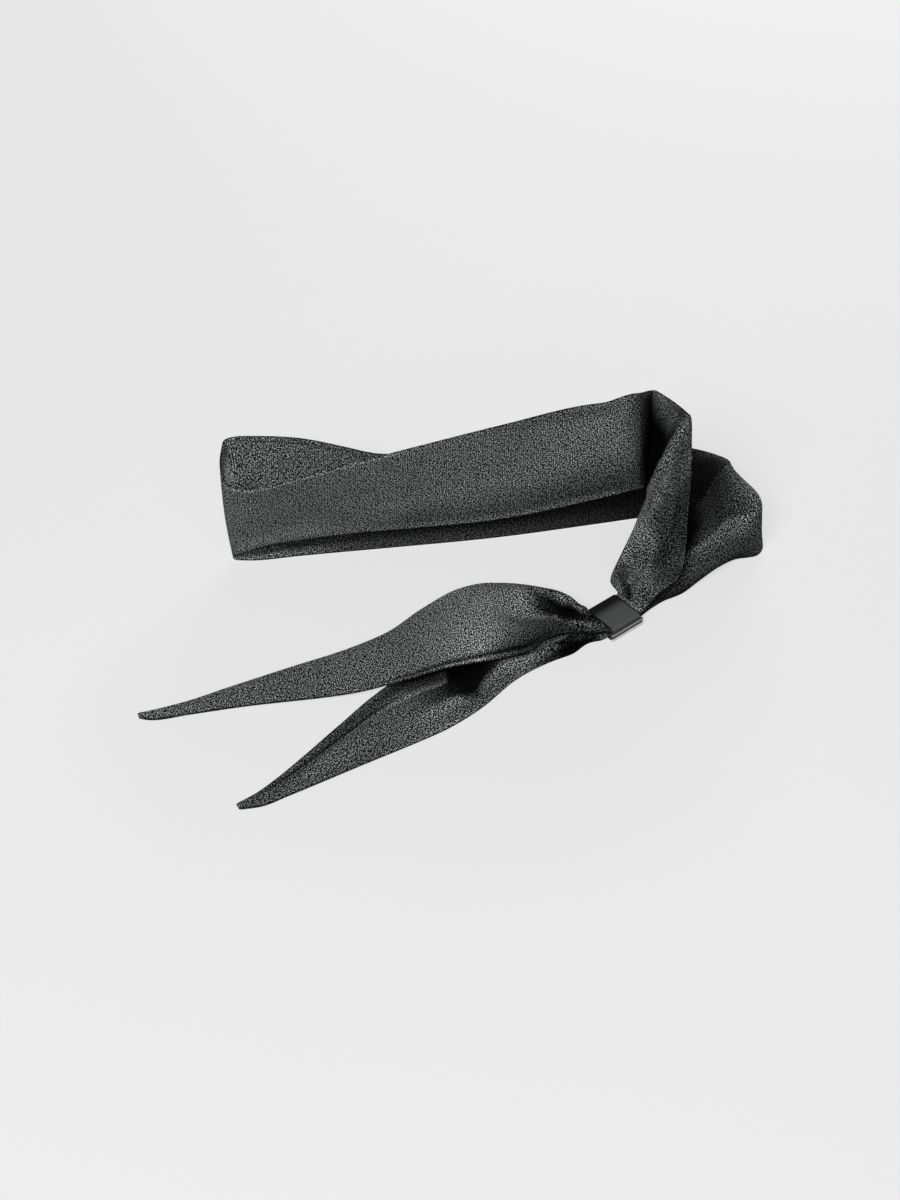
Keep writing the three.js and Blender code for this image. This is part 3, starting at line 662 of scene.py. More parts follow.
# %% Shade of the front tail
FRONT_TAIL_SHADES = [
    # under the lip and beside the crossing, then the dent above the lip
    ("front_tail", "broad", [
        (0, 0.5, 0.25, 200, 200), (1.5, 0.5, 0.3, 200, 200), (6, 0.5, 0.32, 200, 200),
        (7.2, 0.5, 0.05, 200, 200), (8.4, 0.4, -0.2, 200, 60), (9.4, 0.3, 0, 200, 60)]),
    ("front_tail", "soft", [
        (8.0, 1, 0, 10, 10), (8.8, 1, 0.65, 20, 10), (9.5, 1, 0.86, 27, 10), (10.2, 1, 0.9, 36, 10),
        (10.9, 0.98, 0.9, 28, 10), (11.5, 0.97, 0.87, 24, 8), (12.5, 0.95, 0.82, 20, 6),
        (13.3, 0.92, 0.72, 18, 8), (14.4, 0.92, 0.5, 10, 8), (14.9, 0.9, 0, 10, 8)]),
    ("front_tail", "broad", [
        (10, 0.26, 0, 8, 8), (10.5, 0.27, 0.6, 11, 10), (10.8, 0.31, 0.9, 8, 7), (11.2, 0.38, 0.92, 9, 7),
        (11.6, 0.5, 0.955, 11, 12), (12, 0.6, 0.96, 15, 6.5), (12.4, 0.66, 0.88, 14, 3.5),
        (12.8, 0.68, 0.7, 9, 3), (13.6, 0.72, 0.3, 10, 3), (14.2, 0.75, 0, 10, 3)]),
    # lobe above the dent, its lit lip below, and the groove of the front tail's hem with the lit
    # roll beyond it
    ("front_tail", "broad", [
        (10.6, 0.2, 0, 8, 5), (11.2, 0.2, 0.55, 8, 5), (11.6, 0.22, 0.25, 8, 6), (12, 0.25, -0.2, 8, 6),
        (12.4, 0.25, 0.5, 10, 8), (12.8, 0.28, 0.6, 12, 12), (13.2, 0.3, 0.45, 10, 10),
        (13.8, 0.34, 0, 8, 8)]),
    ("front_tail", "soft", [
        (10.9, 0.55, 0, 3, 3), (11.2, 0.66, -0.6, 3, 5), (11.6, 0.74, -0.8, 2, 4), (12, 0.77, -1.8, 2.5, 5),
        (12.4, 0.77, -1.8, 2.5, 5), (12.8, 0.77, -0.9, 2, 4), (13.6, 0.82, -0.3, 1.5, 2),
        (14, 0.83, 0, 1.5, 2)]),
    ("front_tail", "soft", [
        (5.0, 0.955, 0, 1, 0.8), (6, 0.95, 0.85, 2, 1.6), (8, 0.945, 0.97, 2.6, 1.7),
        (9.6, 0.935, 0.98, 3.2, 1.8), (10.4, 0.93, 0.6, 3, 1.2), (10.8, 0.93, 0, 3, 1.2)]),
    ("front_tail", "soft", [
        (5.0, 0.985, 0, 1.5, 3), (6, 0.98, -0.5, 1.4, 3), (8, 0.978, -0.6, 1.5, 3),
        (9.6, 0.972, -0.8, 1.5, 3), (10.4, 0.97, -0.3, 1.5, 3), (10.8, 0.97, 0, 1.5, 3)]),
]
print(len(FRONT_TAIL_SHADES), "lines of shade on the front tail")

# %% [markdown]
# ## Shade of the back tail
#
# The back tail comes out from under the front one, so it is darkest at the crossing. Its ridge
# is light above a hollow, and a crease runs on to its tip.

# %% Shade of the back tail
BACK_TAIL_SHADES = [
    # hollow, ridge, cavity beside the crossing, low edge
    ("back_tail", "broad", [
        (0, 0.2, 0, 4, 3), (0.3, 0.2, 0.75, 6, 4), (0.7, 0.15, 0.88, 10, 5), (1.25, 0.14, 0.95, 12, 6),
        (1.5, 0.19, 0.97, 13, 6.5), (1.8, 0.19, 0.985, 13, 11), (2.2, 0.2, 0.98, 12, 11),
        (2.6, 0.2, 0.92, 9, 9), (3, 0.2, 0.86, 5, 6), (3.4, 0.2, 0.55, 4, 4), (4, 0.2, 0.1, 4, 4),
        (4.3, 0.2, 0, 4, 4)]),
    ("back_tail", "soft", [
        (1, 0.3, 0, 3, 14), (1.25, 0.32, -2.2, 3, 14), (1.5, 0.35, -4, 3, 16), (1.75, 0.4, -4, 3, 16),
        (2.1, 0.4, -4.5, 3, 16), (2.5, 0.4, -4, 4, 16), (3, 0.4, -2.8, 6, 18), (3.5, 0.42, -1.2, 8, 14),
        (4.2, 0.38, 0, 8, 10)]),
    ("back_tail", "soft", [
        (1, 0.84, 0, 10, 8), (1.5, 0.84, -0.2, 16, 9), (2, 0.82, 0, 16, 9), (2.6, 0.78, -0.7, 20, 10),
        (3.2, 0.78, -0.4, 14, 10), (3.8, 0.78, 0, 10, 10)]),
    ("back_tail", "broad", [
        (3.9, 0.62, 0, 5, 16), (4.15, 0.6, 0.8, 7, 18), (4.4, 0.57, 0.97, 8, 22),
        (4.7, 0.56, 0.985, 11, 24), (5, 0.55, 0.985, 17, 30), (5.2, 0.53, 0.98, 15, 16),
        (5.45, 0.49, 0.95, 9, 5), (5.75, 0.47, 0.82, 8, 5), (6.1, 0.46, 0.6, 8, 6),
        (6.6, 0.45, 0.35, 10, 8), (7.4, 0.45, 0.25, 12, 10), (8.4, 0.45, 0, 12, 10)]),
    ("back_tail", "broad", [
        (5.2, 0.74, 0, 9, 12), (5.5, 0.74, 0.62, 9, 12), (6, 0.72, 0.45, 9, 12), (6.4, 0.7, 0, 9, 12)]),
    ("back_tail", "soft", [
        (4.7, 0.98, 0, 12, 10), (5.1, 0.97, 0.9, 16, 10), (5.5, 0.94, 0.92, 10, 10), (6, 0.92, 0.88, 8, 10),
        (7, 0.9, 0.6, 6, 10), (8, 0.9, 0.4, 5, 8), (9, 0.9, 0, 5, 8)]),
    ("back_tail", "soft", [
        (3.6, 0.09, 0, 5, 7), (4.2, 0.1, 0.45, 5, 9), (5, 0.1, 0.5, 5, 9), (6, 0.1, 0.4, 4, 8),
        (8, 0.1, 0.3, 4, 6), (10, 0.1, 0.2, 4, 6), (11, 0.1, 0, 4, 6)]),
    ("back_tail", "broad", [
        (5.6, 0.5, 0, 200, 200), (6.6, 0.5, 0.15, 200, 200), (8, 0.5, 0.3, 200, 200),
        (12, 0.5, 0.35, 200, 200)]),
    # band beside the crease that runs to the back tail's tip, the crease, and the faint stripe
    ("back_tail", "broad", [
        (6.2, 0.95, 0, 6, 10), (7, 0.93, 0.25, 5, 10), (8, 0.92, 0.4, 8, 10), (9, 0.88, 0.45, 8, 10),
        (10, 0.82, 0.35, 8, 10), (11.5, 0.7, 0.2, 6, 8), (12, 0.7, 0, 6, 8)]),
    ("back_tail", "soft", [
        (6.6, 0.98, 0, 2, 3), (7, 0.98, -0.6, 2, 3), (8.5, 0.98, -0.4, 2, 3), (10, 0.98, 0, 2, 3)]),
    ("back_tail", "soft", [
        (6.4, 0.795, 0, 1.2, 1.8), (7.2, 0.79, 0.75, 1.3, 2), (9, 0.79, 0.88, 1.3, 2),
        (10.5, 0.79, 0.85, 1.2, 1.6), (11.4, 0.79, 0, 1, 1.4)]),
    ("back_tail", "soft", [
        (7, 0.73, 0, 1.4, 1.4), (8, 0.735, -0.5, 1.5, 1.4), (10, 0.73, -0.5, 1.3, 1.2),
        (11.2, 0.73, 0, 1, 1)]),
    ("back_tail", "soft", [
        (5.3, 0.6, 0, 1.4, 2), (5.6, 0.6, -0.9, 1.8, 3), (6.2, 0.62, -0.8, 1.8, 3), (7, 0.66, -0.4, 1.6, 2),
        (8, 0.69, 0, 1.4, 1.4)]),
]
print(len(BACK_TAIL_SHADES), "lines of shade on the back tail")

# %% [markdown]
# ## Shade of the right fold, and all shade together
#
# The right fold shows its outside, which is turned away from the lamps: its upper half is
# darker than its low one. Where lines of shade overlap, each lets a share of the light
# through, so the shares are multiplied and never take more than all of it.

# %% Shade of the right fold
RIGHT_FOLD_SHADES = [
    # outside of the right fold, and its darker upper half
    ("right_fold", "broad", [
        (1.5, 0.5, 0, 120, 120), (2.2, 0.5, 0.3, 120, 120), (3, 0.5, 0.4, 120, 120),
        (5, 0.5, 0.4, 120, 120), (7, 0.5, 0.45, 120, 120), (8, 0.5, 0.4, 120, 120), (8.6, 0.5, 0, 120, 120)]),
    ("right_fold", "broad", [
        (1, 0.57, 0, 2.4, 40), (1.5, 0.57, 0.3, 2.6, 60), (2.2, 0.58, 0.62, 2.6, 70),
        (3, 0.565, 0.7, 2.6, 70), (4, 0.55, 0.58, 2.6, 70), (4.8, 0.545, 0.76, 3, 70),
        (5.4, 0.6, 0.8, 3, 50), (6, 0.68, 0.4, 3, 40), (6.4, 0.72, 0, 3, 24)]),
    ("right_fold", "broad", [
        (1.7, 0.18, 0, 40, 14), (2.2, 0.18, 0.32, 40, 15), (4, 0.2, 0.4, 40, 14), (5.4, 0.2, 0.4, 40, 15),
        (6.2, 0.2, 0.65, 40, 24), (7.2, 0.2, 0.72, 40, 30), (7.8, 0.2, 0.4, 40, 30), (8.4, 0.2, 0, 40, 30)]),
    ("right_fold", "soft", [
        (1.2, 0.5, 0, 4, 2), (1.8, 0.52, -0.1, 5, 1.5), (3.6, 0.53, -0.15, 6, 1.5), (4.6, 0.56, 0, 5, 1.5)]),
    ("right_fold", "broad", [
        (3.6, 0.9, 0, 20, 30), (4.2, 0.88, 0.5, 16, 30), (4.7, 0.86, 0.85, 16, 30),
        (5.2, 0.84, 0.9, 16, 30), (5.7, 0.84, 0.6, 14, 24), (6.2, 0.84, 0, 12, 20)]),
]
SHADES = RISE_SHADES + SIDE_SHADES + FRONT_TAIL_SHADES + BACK_TAIL_SHADES + RIGHT_FOLD_SHADES
INNER_ONLY = ("far_side",)
OUTER_ONLY = ("rise", "near_side")


def shade_at(places, width, shares, lines):
    """The share of light lost: one minus the product of what each line lets through."""
    through = np.ones((len(places), len(shares)))
    for form in all_forms(lines, places, width, shares):
        through *= 1 - form
    return 1 - through


print(len(SHADES), "lines of shade in all")

# %% [markdown]
# ## Rings along the strip
#
# The surface is read at rings that lie close together where the cloth is folded and further
# apart on the two plain sides. The columns crowd together at the long edges, where the roll of
# the edge needs them. Then the folds push the surface in or out along its own normal.

# %% Rings along the strip
FINE_STEP, PLAIN_STEP = 1.25, 3.4
# the two plain sides, from one row to another
PLAIN_SIDES = [("near_side", 0), ("near_side", 5), ("far_side", 1), ("far_side", 6)]
INNER_COLUMNS = 54
EDGE_SHARES = np.array([0.0, 0.0018, 0.006, 0.013])
inner_shares = np.linspace(0.022, 0.978, INNER_COLUMNS)
shares = np.concatenate([EDGE_SHARES, inner_shares, 1 - EDGE_SHARES[::-1]])


def ring_places():
    """Places along the strip, with the plain step on the two sides and the fine step elsewhere."""
    marks = [0.0, *(row_station(*row) for row in PLAIN_SIDES), stations[-1]]
    steps = [FINE_STEP, PLAIN_STEP, FINE_STEP, PLAIN_STEP, FINE_STEP]
    parts = [np.arange(start, end, step) for start, end, step in zip(marks[:-1], marks[1:], steps)]
    return np.concatenate([*parts, [stations[-1]]])


places = ring_places()
middle, cloth_width = strip_surface(places, shares)
relief = sum(all_forms(FOLDS, places, cloth_width, shares))
middle = middle + grid_normals(middle) * relief[:, :, None]
print("middle surface of", middle.shape[:2], "points, widest cloth", round(cloth_width.max(), 1), "mm")

# %% [markdown]
# ## The strip's mesh
#
# The strip is a flat tube: every section is a closed ring that runs over the outer side and
# back under the inner side. A Solidify modifier would give a wall too, but with square edges.
# Here the wall thins along a quarter circle towards the long edges, so the edge is a pressed
# roll, as on cloth that is sewn and turned.

# %% Strip mesh
HALF_WALL = 0.55
EDGE_ROLL = 0.9
TIP_BLUNT = 0.1
NOMINAL_WIDTH = 65.0


def wall_at(shares, places):
    """Half the wall: even inside, and falling along a quarter circle at the edges and tips."""
    from_edge = np.minimum(shares, 1 - shares)[None, :] * NOMINAL_WIDTH
    from_tip = np.minimum(places, places[-1] - places)[:, None] + TIP_BLUNT
    roll = np.sqrt(1 - (1 - np.clip(from_edge / EDGE_ROLL, 0, 1)) ** 2)
    tip = np.sqrt(1 - (1 - np.clip(from_tip / EDGE_ROLL, 0, 1)) ** 2)
    return HALF_WALL * roll * tip


def ring_of(outer, inner):
    """What the outer side has, then what the inner side has on the way back, as one ring."""
    return np.concatenate([outer, inner[:, -2:0:-1]], axis=1)


def tube_faces(rows, columns):
    """Four-cornered faces from each ring to the next, and a cap across the ring at each tip."""
    ring = columns * 2 - 2
    number = np.arange(rows * ring).reshape(rows, ring)
    ahead = np.roll(number, -1, axis=1)
    side = np.stack([number[:-1], ahead[:-1], ahead[1:], number[1:]], axis=-1).reshape(-1, 4)
    across = np.arange(columns - 1)
    back = (ring - across) % ring
    back_ahead = (ring - across - 1) % ring
    cap = np.stack([across, back, back_ahead, across + 1], axis=-1)
    last_cap = cap[:, ::-1] + (rows - 1) * ring
    # a corner that comes twice, at the long edges, is kept once
    caps = [list(dict.fromkeys(corners)) for corners in cap.tolist() + last_cap.tolist()]
    return side.tolist() + caps


def add_map(piece, name, first, second):
    """A map on a piece, from two numbers for each of its points."""
    mesh = piece.data
    corners = np.empty(len(mesh.loops), int)
    mesh.loops.foreach_get("vertex_index", corners)
    values = np.stack([first.ravel(), second.ravel()], axis=-1)
    mesh.uv_layers.new(name=name).data.foreach_set("uv", values[corners].ravel())


wall = grid_normals(middle) * wall_at(shares, places)[:, :, None]
strip_points = to_metres(ring_of(middle + wall, middle - wall).reshape(-1, 3))
scarf = mesh_object("scarf", strip_points, tube_faces(*middle.shape[:2]))
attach(scarf, "root")
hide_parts("scarf_strip")
print("scarf:", len(scarf.data.polygons), "faces")

# %% [markdown]
# ## Maps of the strip
#
# Two maps go with the mesh, and the cloth's finish reads them. One has U across and V along the
# cloth, in metres, so that the weave keeps its true size and follows every turn of the strip.
# The other has the distance from the nearest long edge, in metres, and the shade.

# %% Maps of the strip
ring_shares = ring_of(shares[None, :], shares[None, :])
across_cloth = (ring_shares - 0.5) * cloth_width[:, None]
along_cloth = np.broadcast_to(places[:, None], across_cloth.shape)
from_edge = np.minimum(ring_shares, 1 - ring_shares) * cloth_width[:, None]
outer_lines = [line for line in SHADES if line[0] not in INNER_ONLY]
inner_lines = [line for line in SHADES if line[0] not in OUTER_ONLY]
outer_shade = shade_at(places, cloth_width, shares, outer_lines)
inner_shade = shade_at(places, cloth_width, shares, inner_lines)
add_map(scarf, "cloth", across_cloth * MM, along_cloth * MM)
add_map(scarf, "tone", from_edge * MM, ring_of(outer_shade, inner_shade))
print("deepest shade takes", round(float(outer_shade.max()), 3), "of the light")

# %% [markdown]
# ## The cloth
#
# The cloth is a dark melange: light and dark fibres are spun together, so every thread is
# speckled. Noise with twice as many grains along the strip as across it makes the light dashes
# that show most, noise with more grains across it makes the other threads, and a fine wave
# makes the ribs. All three make the colour and a small bump. A picture of cloth would do this
# too, but it would repeat, and blur when seen from near.

# %% Cloth material
# grains for each metre, across the strip and along it
DASHES_PER_METRE = (1120.0, 2050.0)
THREADS_PER_METRE = (2250.0, 1200.0)
RIB_SCALE, RIB_WAVER = 290.0, 1.2
DASH_SHARE, THREAD_SHARE, RIB_SHARE = 0.62, 0.38, 0.045
FIBRE_TONES = [(0.42, 0.001), (0.51, 0.012), (0.57, 0.157), (0.64, 0.73)]
COOL_TINT = (0.99, 1.0, 0.997)
WEAVE_BUMP = {"Strength": 0.6, "Distance": 0.0004}
cloth_finish = {"Roughness": 0.95, "Specular IOR Level": 0.015}
cloth, cloth_tree, cloth_shader = node_material("melange_cloth", cloth_finish)


def add_node(tree, kind, inputs, **settings):
    """A node of a kind, with its settings made first and its inputs filled after them."""
    node = tree.nodes.new("ShaderNode" + kind)
    for name, value in settings.items():
        setattr(node, name, value)
    fill_inputs(node, inputs)
    return node


def stretched_noise(per_metre, detail):
    """Noise read from the cloth's map, with its own number of grains per metre each way."""
    spread = add_node(cloth_tree, "Mapping", {"Vector": cloth_map, "Scale": (*per_metre, 1.0)})
    inputs = {"Vector": spread.outputs["Vector"], "Scale": 1.0, "Detail": detail, "Roughness": 0.6}
    return add_node(cloth_tree, "TexNoise", inputs, noise_dimensions="2D").outputs["Fac"]


def joined(operation, first, second):
    """Two values of the cloth joined by one arithmetic step."""
    return add_node(cloth_tree, "Math", {0: first, 1: second}, operation=operation).outputs[0]


def colour_ramp(tree, value, stops):
    """A value turned into a grey by stops of position and brightness, with a cool tint."""
    node = add_node(tree, "ValToRGB", {"Fac": value})
    while len(node.color_ramp.elements) < len(stops):
        node.color_ramp.elements.new(0.5)
    for element, (position, grey) in zip(node.color_ramp.elements, stops):
        element.position = position
        element.color = (*(grey * part for part in COOL_TINT), 1.0)
    return node.outputs["Color"]


cloth_map = add_node(cloth_tree, "UVMap", {}, uv_map="cloth").outputs["UV"]
tone_map = add_node(cloth_tree, "UVMap", {}, uv_map="tone").outputs["UV"]
dashes = stretched_noise(DASHES_PER_METRE, detail=1.0)
threads = stretched_noise(THREADS_PER_METRE, detail=0.0)
rib_inputs = {"Vector": cloth_map, "Scale": RIB_SCALE, "Distortion": RIB_WAVER}
ribs = add_node(cloth_tree, "TexWave", rib_inputs, bands_direction="Y").outputs["Fac"]
weave = joined("ADD", joined("MULTIPLY", dashes, DASH_SHARE), joined("MULTIPLY", threads, THREAD_SHARE))
weave = joined("ADD", weave, joined("MULTIPLY", ribs, RIB_SHARE))
fibres = colour_ramp(cloth_tree, weave, FIBRE_TONES)
dash_size = [round(1 / MM / count, 2) for count in DASHES_PER_METRE]
print("grains of the dashes are about", dash_size[0], "by", dash_size[1], "mm")

# %% [markdown]
# ## The tone of the cloth
#
# Large soft patches vary the tone a little, as wool does. The map's distance from the edge
# darkens the last millimetre: painted shade, a thin dark outline along each long edge. Deep
# folds get painted shade too: they are darker by how little of the sky a spot sees, and by the
# shade that the map holds. Painting this by hand would tie it to one mesh, while numbers follow
# the folds when the tables change.

# %% Tone of the cloth
PATCHES_PER_METRE = (22.0, 22.0)
PATCH_TONES = [(0.3, 0.82), (0.7, 1.0)]
EDGE_REACH = 0.0025
EDGE_SHADE_TONES = [(0.10, 0.30), (0.32, 1.0)]
SKY_REACH, SKY_SAMPLES = 0.012, 12
SKY_SHADE_TONES = [(0.20, 0.20), (0.60, 0.75), (0.92, 1.0)]


def times(tree, first, second):
    """Two colours multiplied."""
    inputs = {"Factor": 1.0, "A": first, "B": second}
    return add_node(tree, "Mix", inputs, data_type="RGBA", blend_type="MULTIPLY").outputs["Result"]


patches = stretched_noise(PATCHES_PER_METRE, detail=2.0)
patch_tone = colour_ramp(cloth_tree, patches, PATCH_TONES)
tone = add_node(cloth_tree, "SeparateXYZ", {"Vector": tone_map}).outputs
# painted shade: a thin dark outline over the last millimetre of each long edge
painted_edge_shade = colour_ramp(cloth_tree, joined("MULTIPLY", tone["X"], 1 / EDGE_REACH), EDGE_SHADE_TONES)
# painted shade in deep folds: the colour is darker where a spot sees little of the sky
sky = add_node(cloth_tree, "AmbientOcclusion", {"Distance": SKY_REACH}, samples=SKY_SAMPLES).outputs["AO"]
painted_fold_shade = colour_ramp(cloth_tree, sky, SKY_SHADE_TONES)
whole = times(cloth_tree, times(cloth_tree, fibres, patch_tone), times(cloth_tree, painted_edge_shade, painted_fold_shade))
light_left = joined("SUBTRACT", 1.0, tone["Y"])
lit = add_node(cloth_tree, "VectorMath", {"Vector": whole, "Scale": light_left}, operation="SCALE")
bump = add_node(cloth_tree, "Bump", {**WEAVE_BUMP, "Height": weave})
fill_inputs(cloth_shader, {"Base Color": lit.outputs["Vector"], "Normal": bump.outputs["Normal"]})
scarf.data.materials.append(cloth)
print("cloth material has", len(cloth_tree.nodes), "nodes")

# %% [markdown]
# ## The seam's stitches
#
# On the inner side of the loop a row of small stitches follows the upper edge, where the strip
# was closed. Each stitch is the same little bead with eighteen faces, laid along the edge at
# even steps, so one array of places carries them all. A bead for each by hand, or an Array
# modifier on a curve, would be slower to place and to change.

# %% Stitches
STITCH_STEP = 2.6
STITCH_HALF = np.array([0.75, 0.22, 0.2])
STITCH_GAP = 0.05
# shares of the way across at which the strip is read, and the one that the stitches follow
READ_SHARES = np.array([0.0, 0.2, 0.4, 0.6, 0.8, 0.955, 0.97, 0.985, 1.0])
STITCH_COLUMN = 6
BEAD_SIDES = 6
BEAD_BELT, BEAD_GIRTH = 0.6, 0.8
TWISTS_PER_METRE = 900.0
THREAD_TONES = [(0.35, 0.01), (0.65, 0.05)]


def bead():
    """Points and faces of a bead: a tip at each end and two rings of corners between them."""
    angles = np.linspace(0, 2 * np.pi, BEAD_SIDES, endpoint=False)
    circle = [(BEAD_GIRTH * np.cos(angle), BEAD_GIRTH * np.sin(angle)) for angle in angles]
    rings = [(belt, *corner) for belt in (-BEAD_BELT, BEAD_BELT) for corner in circle]
    form = np.array([(-1, 0, 0), *rings, (1, 0, 0)]) * STITCH_HALF
    last = len(form) - 1
    faces = []
    for side in range(BEAD_SIDES):
        near, near_ahead = 1 + side, 1 + (side + 1) % BEAD_SIDES
        far, far_ahead = near + BEAD_SIDES, near_ahead + BEAD_SIDES
        faces += [(0, near_ahead, near), (last, far, far_ahead), (near, near_ahead, far_ahead, far)]
    return form, faces


def stitch_row(name, start, end):
    """Beads whose long axis follows the strip, on its inner side near the high edge."""
    at = np.arange(start, end, STITCH_STEP)
    line, _ = strip_surface(at, READ_SHARES)
    out = grid_normals(line)[:, STITCH_COLUMN]
    seat = line[:, STITCH_COLUMN] - out * (HALF_WALL + STITCH_GAP)
    along = np.gradient(seat, axis=0)
    along /= np.linalg.norm(along, axis=1, keepdims=True)
    axes = np.stack([along, np.cross(out, along), -out], axis=1)
    form, faces = bead()
    points = seat[:, None] + form @ axes
    all_faces = [[corner + i * len(form) for corner in face] for i in range(len(at)) for face in faces]
    return mesh_object(name, to_metres(points.reshape(-1, 3)), all_faces)


stitches = stitch_row("seam_stitches", row_station("left_fold", 0.6), row_station("far_side", 7))
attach(stitches, "root")
thread, thread_tree, thread_shader = node_material("dark_thread", {"Roughness": 0.7})
where = add_node(thread_tree, "TexCoord", {}).outputs["Object"]
twist = add_node(thread_tree, "TexNoise", {"Vector": where, "Scale": TWISTS_PER_METRE}).outputs["Fac"]
fill_inputs(thread_shader, {"Base Color": colour_ramp(thread_tree, twist, THREAD_TONES)})
stitches.data.materials.append(thread)
print("stitches:", len(stitches.data.polygons), "faces")

# %% [markdown]
# ## The slide
#
# The slide is a flat tube of sheet metal, almost half round at the back and square at the
# front. A box with a Bevel modifier has only one kind of corner, so a rounded rectangle with
# two kinds is carried along a straight line. At each mouth the outline is drawn in a little,
# which gives the rim the small bevel that catches the light.

# %% Slide shell
SLIDE_WIDTH, SLIDE_HEIGHT, SLIDE_WALL = 20.4, 7.4, 0.9
BACK_CORNER, FRONT_CORNER, CORNER_POINTS = 3.2, 1.2, 10
BEVEL = 0.28
SHELL_RINGS = 13


def slide_outline(inset):
    """The slide's outline drawn in by an inset: an arc for each corner, as right and up."""
    half, low, high = SLIDE_WIDTH / 2 - inset, inset, SLIDE_HEIGHT - inset
    front, back = FRONT_CORNER - inset, BACK_CORNER - inset
    quarter = np.linspace(0, np.pi / 2, CORNER_POINTS)
    arcs = [(half - front, low + front, front, -np.pi / 2), (half - front, high - front, front, 0.0),
            (back - half, high - back, back, np.pi / 2), (back - half, low + back, back, np.pi)]
    return np.concatenate([
        np.stack([x + radius * np.cos(start + quarter), y + radius * np.sin(start + quarter)], axis=-1)
        for x, y, radius, start in arcs
    ])


def slide_rings(outline, lines):
    """An outline in right and up, placed at each of these distances along the slide."""
    return [np.stack(slide_point(line, outline[:, 0], outline[:, 1]), axis=-1) for line in lines]


def closed_loft(name, rings, close_ends):
    """Rings joined one to the next; the last joins the first, or each end gets a cap."""
    count, size = np.shape(rings)[:2]
    number = np.arange(count * size).reshape(count, size)
    here, ahead = (number[:-1], number[1:]) if close_ends else (number, np.roll(number, -1, axis=0))
    side = np.stack([here, np.roll(here, -1, axis=1), np.roll(ahead, -1, axis=1), ahead], axis=-1)
    caps = [number[0, ::-1].tolist(), number[-1].tolist()] if close_ends else []
    return mesh_object(name, to_metres(np.concatenate(rings)), side.reshape(-1, 4).tolist() + caps)


outside, rim, inside = slide_outline(0.0), slide_outline(BEVEL), slide_outline(SLIDE_WALL)
shell_rings = slide_rings(rim, [-MOUTH])
shell_rings += slide_rings(outside, np.linspace(-1, 1, SHELL_RINGS) * (MOUTH - BEVEL))
shell_rings += slide_rings(rim, [MOUTH])
shell_rings += slide_rings(inside, [MOUTH, MOUTH / 3, -MOUTH / 3, -MOUTH])
slide_shell = closed_loft("slide_shell", shell_rings, close_ends=False)
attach(slide_shell, "root")
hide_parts("slide_sleeve")
print("slide shell:", len(slide_shell.data.polygons), "faces")

# %% [markdown]
# ## The bar
#
# The bar along the front side is a narrow plate with a bead at its lower and upper edge and a
# recessed band between them, which is bare. It could be cut from a block, but its outline,
# depth against height, has both beads and the band at once. So the outline is carried along the
# slide, shrinks a little at the last step, and is capped.

# %% Slide bar
BAR_LENGTH, BAR_HEIGHT, BAR_BASE, BAR_GAP = 20.2, 4.4, 0.9, 0.3
BAR_BEVEL, BAR_RINGS = 0.25, 9
BAR_END_SHARE = np.array([0.8, 0.93])
# depth and height of the outline, from the foot of the lower bead to the top
BAR_FACE = [
    (0.0, 0.0), (0.75, 0.0), (1.05, 0.12), (1.2, 0.4), (1.2, 0.75), (1.08, 1.0), (0.72, 1.08), (0.72, 3.2),
    (1.0, 3.28), (1.12, 3.45), (1.12, 3.8), (0.95, 4.2), (0.7, BAR_HEIGHT), (0.0, BAR_HEIGHT),
]
bar_outline = np.array(BAR_FACE) + (SLIDE_WIDTH / 2 + BAR_GAP, BAR_BASE)
bar_middle = bar_outline.mean(axis=0)
bar_end = bar_middle + (bar_outline - bar_middle) * BAR_END_SHARE
bar_rings = slide_rings(bar_end, [-BAR_LENGTH / 2])
bar_rings += slide_rings(bar_outline, np.linspace(-1, 1, BAR_RINGS) * (BAR_LENGTH / 2 - BAR_BEVEL))
bar_rings += slide_rings(bar_end, [BAR_LENGTH / 2])
slide_bar = closed_loft("slide_bar", bar_rings, close_ends=True)
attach(slide_bar, "root")
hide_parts("slide_edge_bar")
print("slide bar:", len(slide_bar.data.polygons), "faces")

# %% [markdown]
# ## The metal's finish
#
# The shell is satin black enamel. Its top carries painted light and shade: it is greyer towards
# the bar than at the back, and almost black at the two mouths, where the cloth shades it. The bar
# is dark nickel: its lower bead has a bright painted highlight, its band is dark, and its upper
# bead has a fainter painted highlight where it catches a little light. Both are brushed along the
# slide. Brush marks are noise that is stretched many times along it, read from Object
# coordinates that a Mapping node centres on the slide and turns by its angle. One function
# makes both metals, because they differ only in their tones and their roughness.

# %% Metal materials
END_REACH = 1.5
BRUSH_MARKS_PER_METRE = (150.0, 4500.0, 4500.0)
BRUSH_TONES = [(0.3, 0.78), (0.7, 1.0)]
BRUSH_BUMP = {"Strength": 0.3, "Distance": 0.00005}
slide_middle = tuple(to_metres((SLIDE_X, SLIDE_Y, 0.0)))


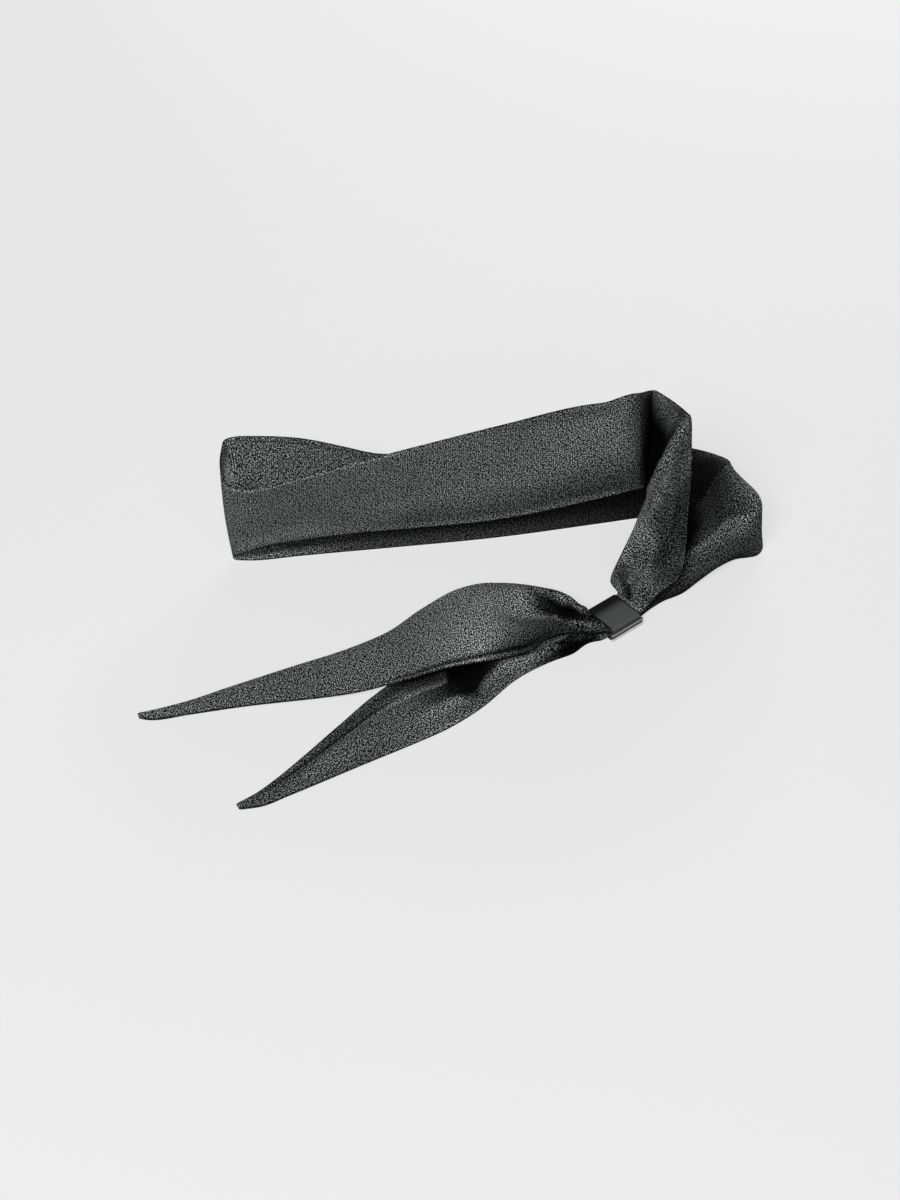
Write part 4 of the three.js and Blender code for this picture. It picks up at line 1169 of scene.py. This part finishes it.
def brushed_metal(name, metallic, roughness, across, painted_light_across, painted_shade_at_ends):
    """Stretched noise drives the roughness, a faint bump and a fifth of the colour. The rest of
    the colour is painted light and shade: tones along one direction, over the slide's width or up
    its height, times tones over the last END_REACH millimetres before the slide's two ends."""
    material, tree, shader = node_material(name, {"Metallic": metallic})
    where = add_node(tree, "TexCoord", {}).outputs["Object"]
    turned = {"Vector": where, "Location": slide_middle, "Rotation": (0.0, 0.0, SLIDE_TURN)}
    place = add_node(tree, "Mapping", turned, vector_type="TEXTURE").outputs["Vector"]
    stretch = add_node(tree, "Mapping", {"Vector": place, "Scale": BRUSH_MARKS_PER_METRE}).outputs["Vector"]
    marks = add_node(tree, "TexNoise", {"Vector": stretch, "Scale": 1.0, "Detail": 3.0}).outputs["Fac"]
    split = add_node(tree, "SeparateXYZ", {"Vector": place}).outputs
    from_middle = add_node(tree, "Math", {0: split["X"]}, operation="ABSOLUTE").outputs[0]

    def ranged(value, limits, ends=("From Min", "From Max")):
        """A value carried evenly from its limits to 0 and 1, or from 0 and 1 to its limits."""
        return add_node(tree, "MapRange", {"Value": value, **dict(zip(ends, limits))}).outputs["Result"]

    base = colour_ramp(tree, ranged(split[across[0]], across[1:]), painted_light_across)
    ends = colour_ramp(tree, ranged(from_middle, ((MOUTH - END_REACH) * MM, MOUTH * MM)), painted_shade_at_ends)
    brushed_with_painted_light = times(tree, base, colour_ramp(tree, marks, BRUSH_TONES))
    bump = add_node(tree, "Bump", {**BRUSH_BUMP, "Height": marks})
    fill_inputs(shader, {"Base Color": times(tree, brushed_with_painted_light, ends), "Normal": bump.outputs["Normal"],
                         "Roughness": ranged(marks, roughness, ends=("To Min", "To Max"))})
    return material


half_width = SLIDE_WIDTH / 2 * MM
bar_foot, bar_top = BAR_BASE * MM, (BAR_BASE + BAR_HEIGHT) * MM
# enamel: painted light and shade across the top, and painted shade at the two mouths
enamel = brushed_metal(
    "satin_black_enamel", metallic=0.0, roughness=(0.4, 0.55), across=("Y", -half_width, half_width),
    painted_light_across=[(0.0, 0.1), (0.48, 0.095), (0.6, 0.06), (0.72, 0.01), (1.0, 0.002)],
    painted_shade_at_ends=[(0.3, 1.0), (0.6, 0.08), (1.0, 0.03)])
# nickel: painted highlights on the lower and upper bead; its ends get no painted shade
nickel = brushed_metal(
    "brushed_dark_nickel", metallic=0.4, roughness=(0.2, 0.4), across=("Z", bar_foot, bar_top),
    painted_light_across=[(0.0, 0.03), (0.06, 0.03), (0.1, 1.0), (0.26, 1.0), (0.32, 0.02), (0.72, 0.03), (0.78, 0.5),
                  (0.9, 0.4), (1.0, 0.1)],
    painted_shade_at_ends=[(0.0, 1.0), (1.0, 1.0)])
slide_shell.data.materials.append(enamel)
slide_bar.data.materials.append(nickel)
print("metal materials:", slide_shell.data.materials[0].name, slide_bar.data.materials[0].name)
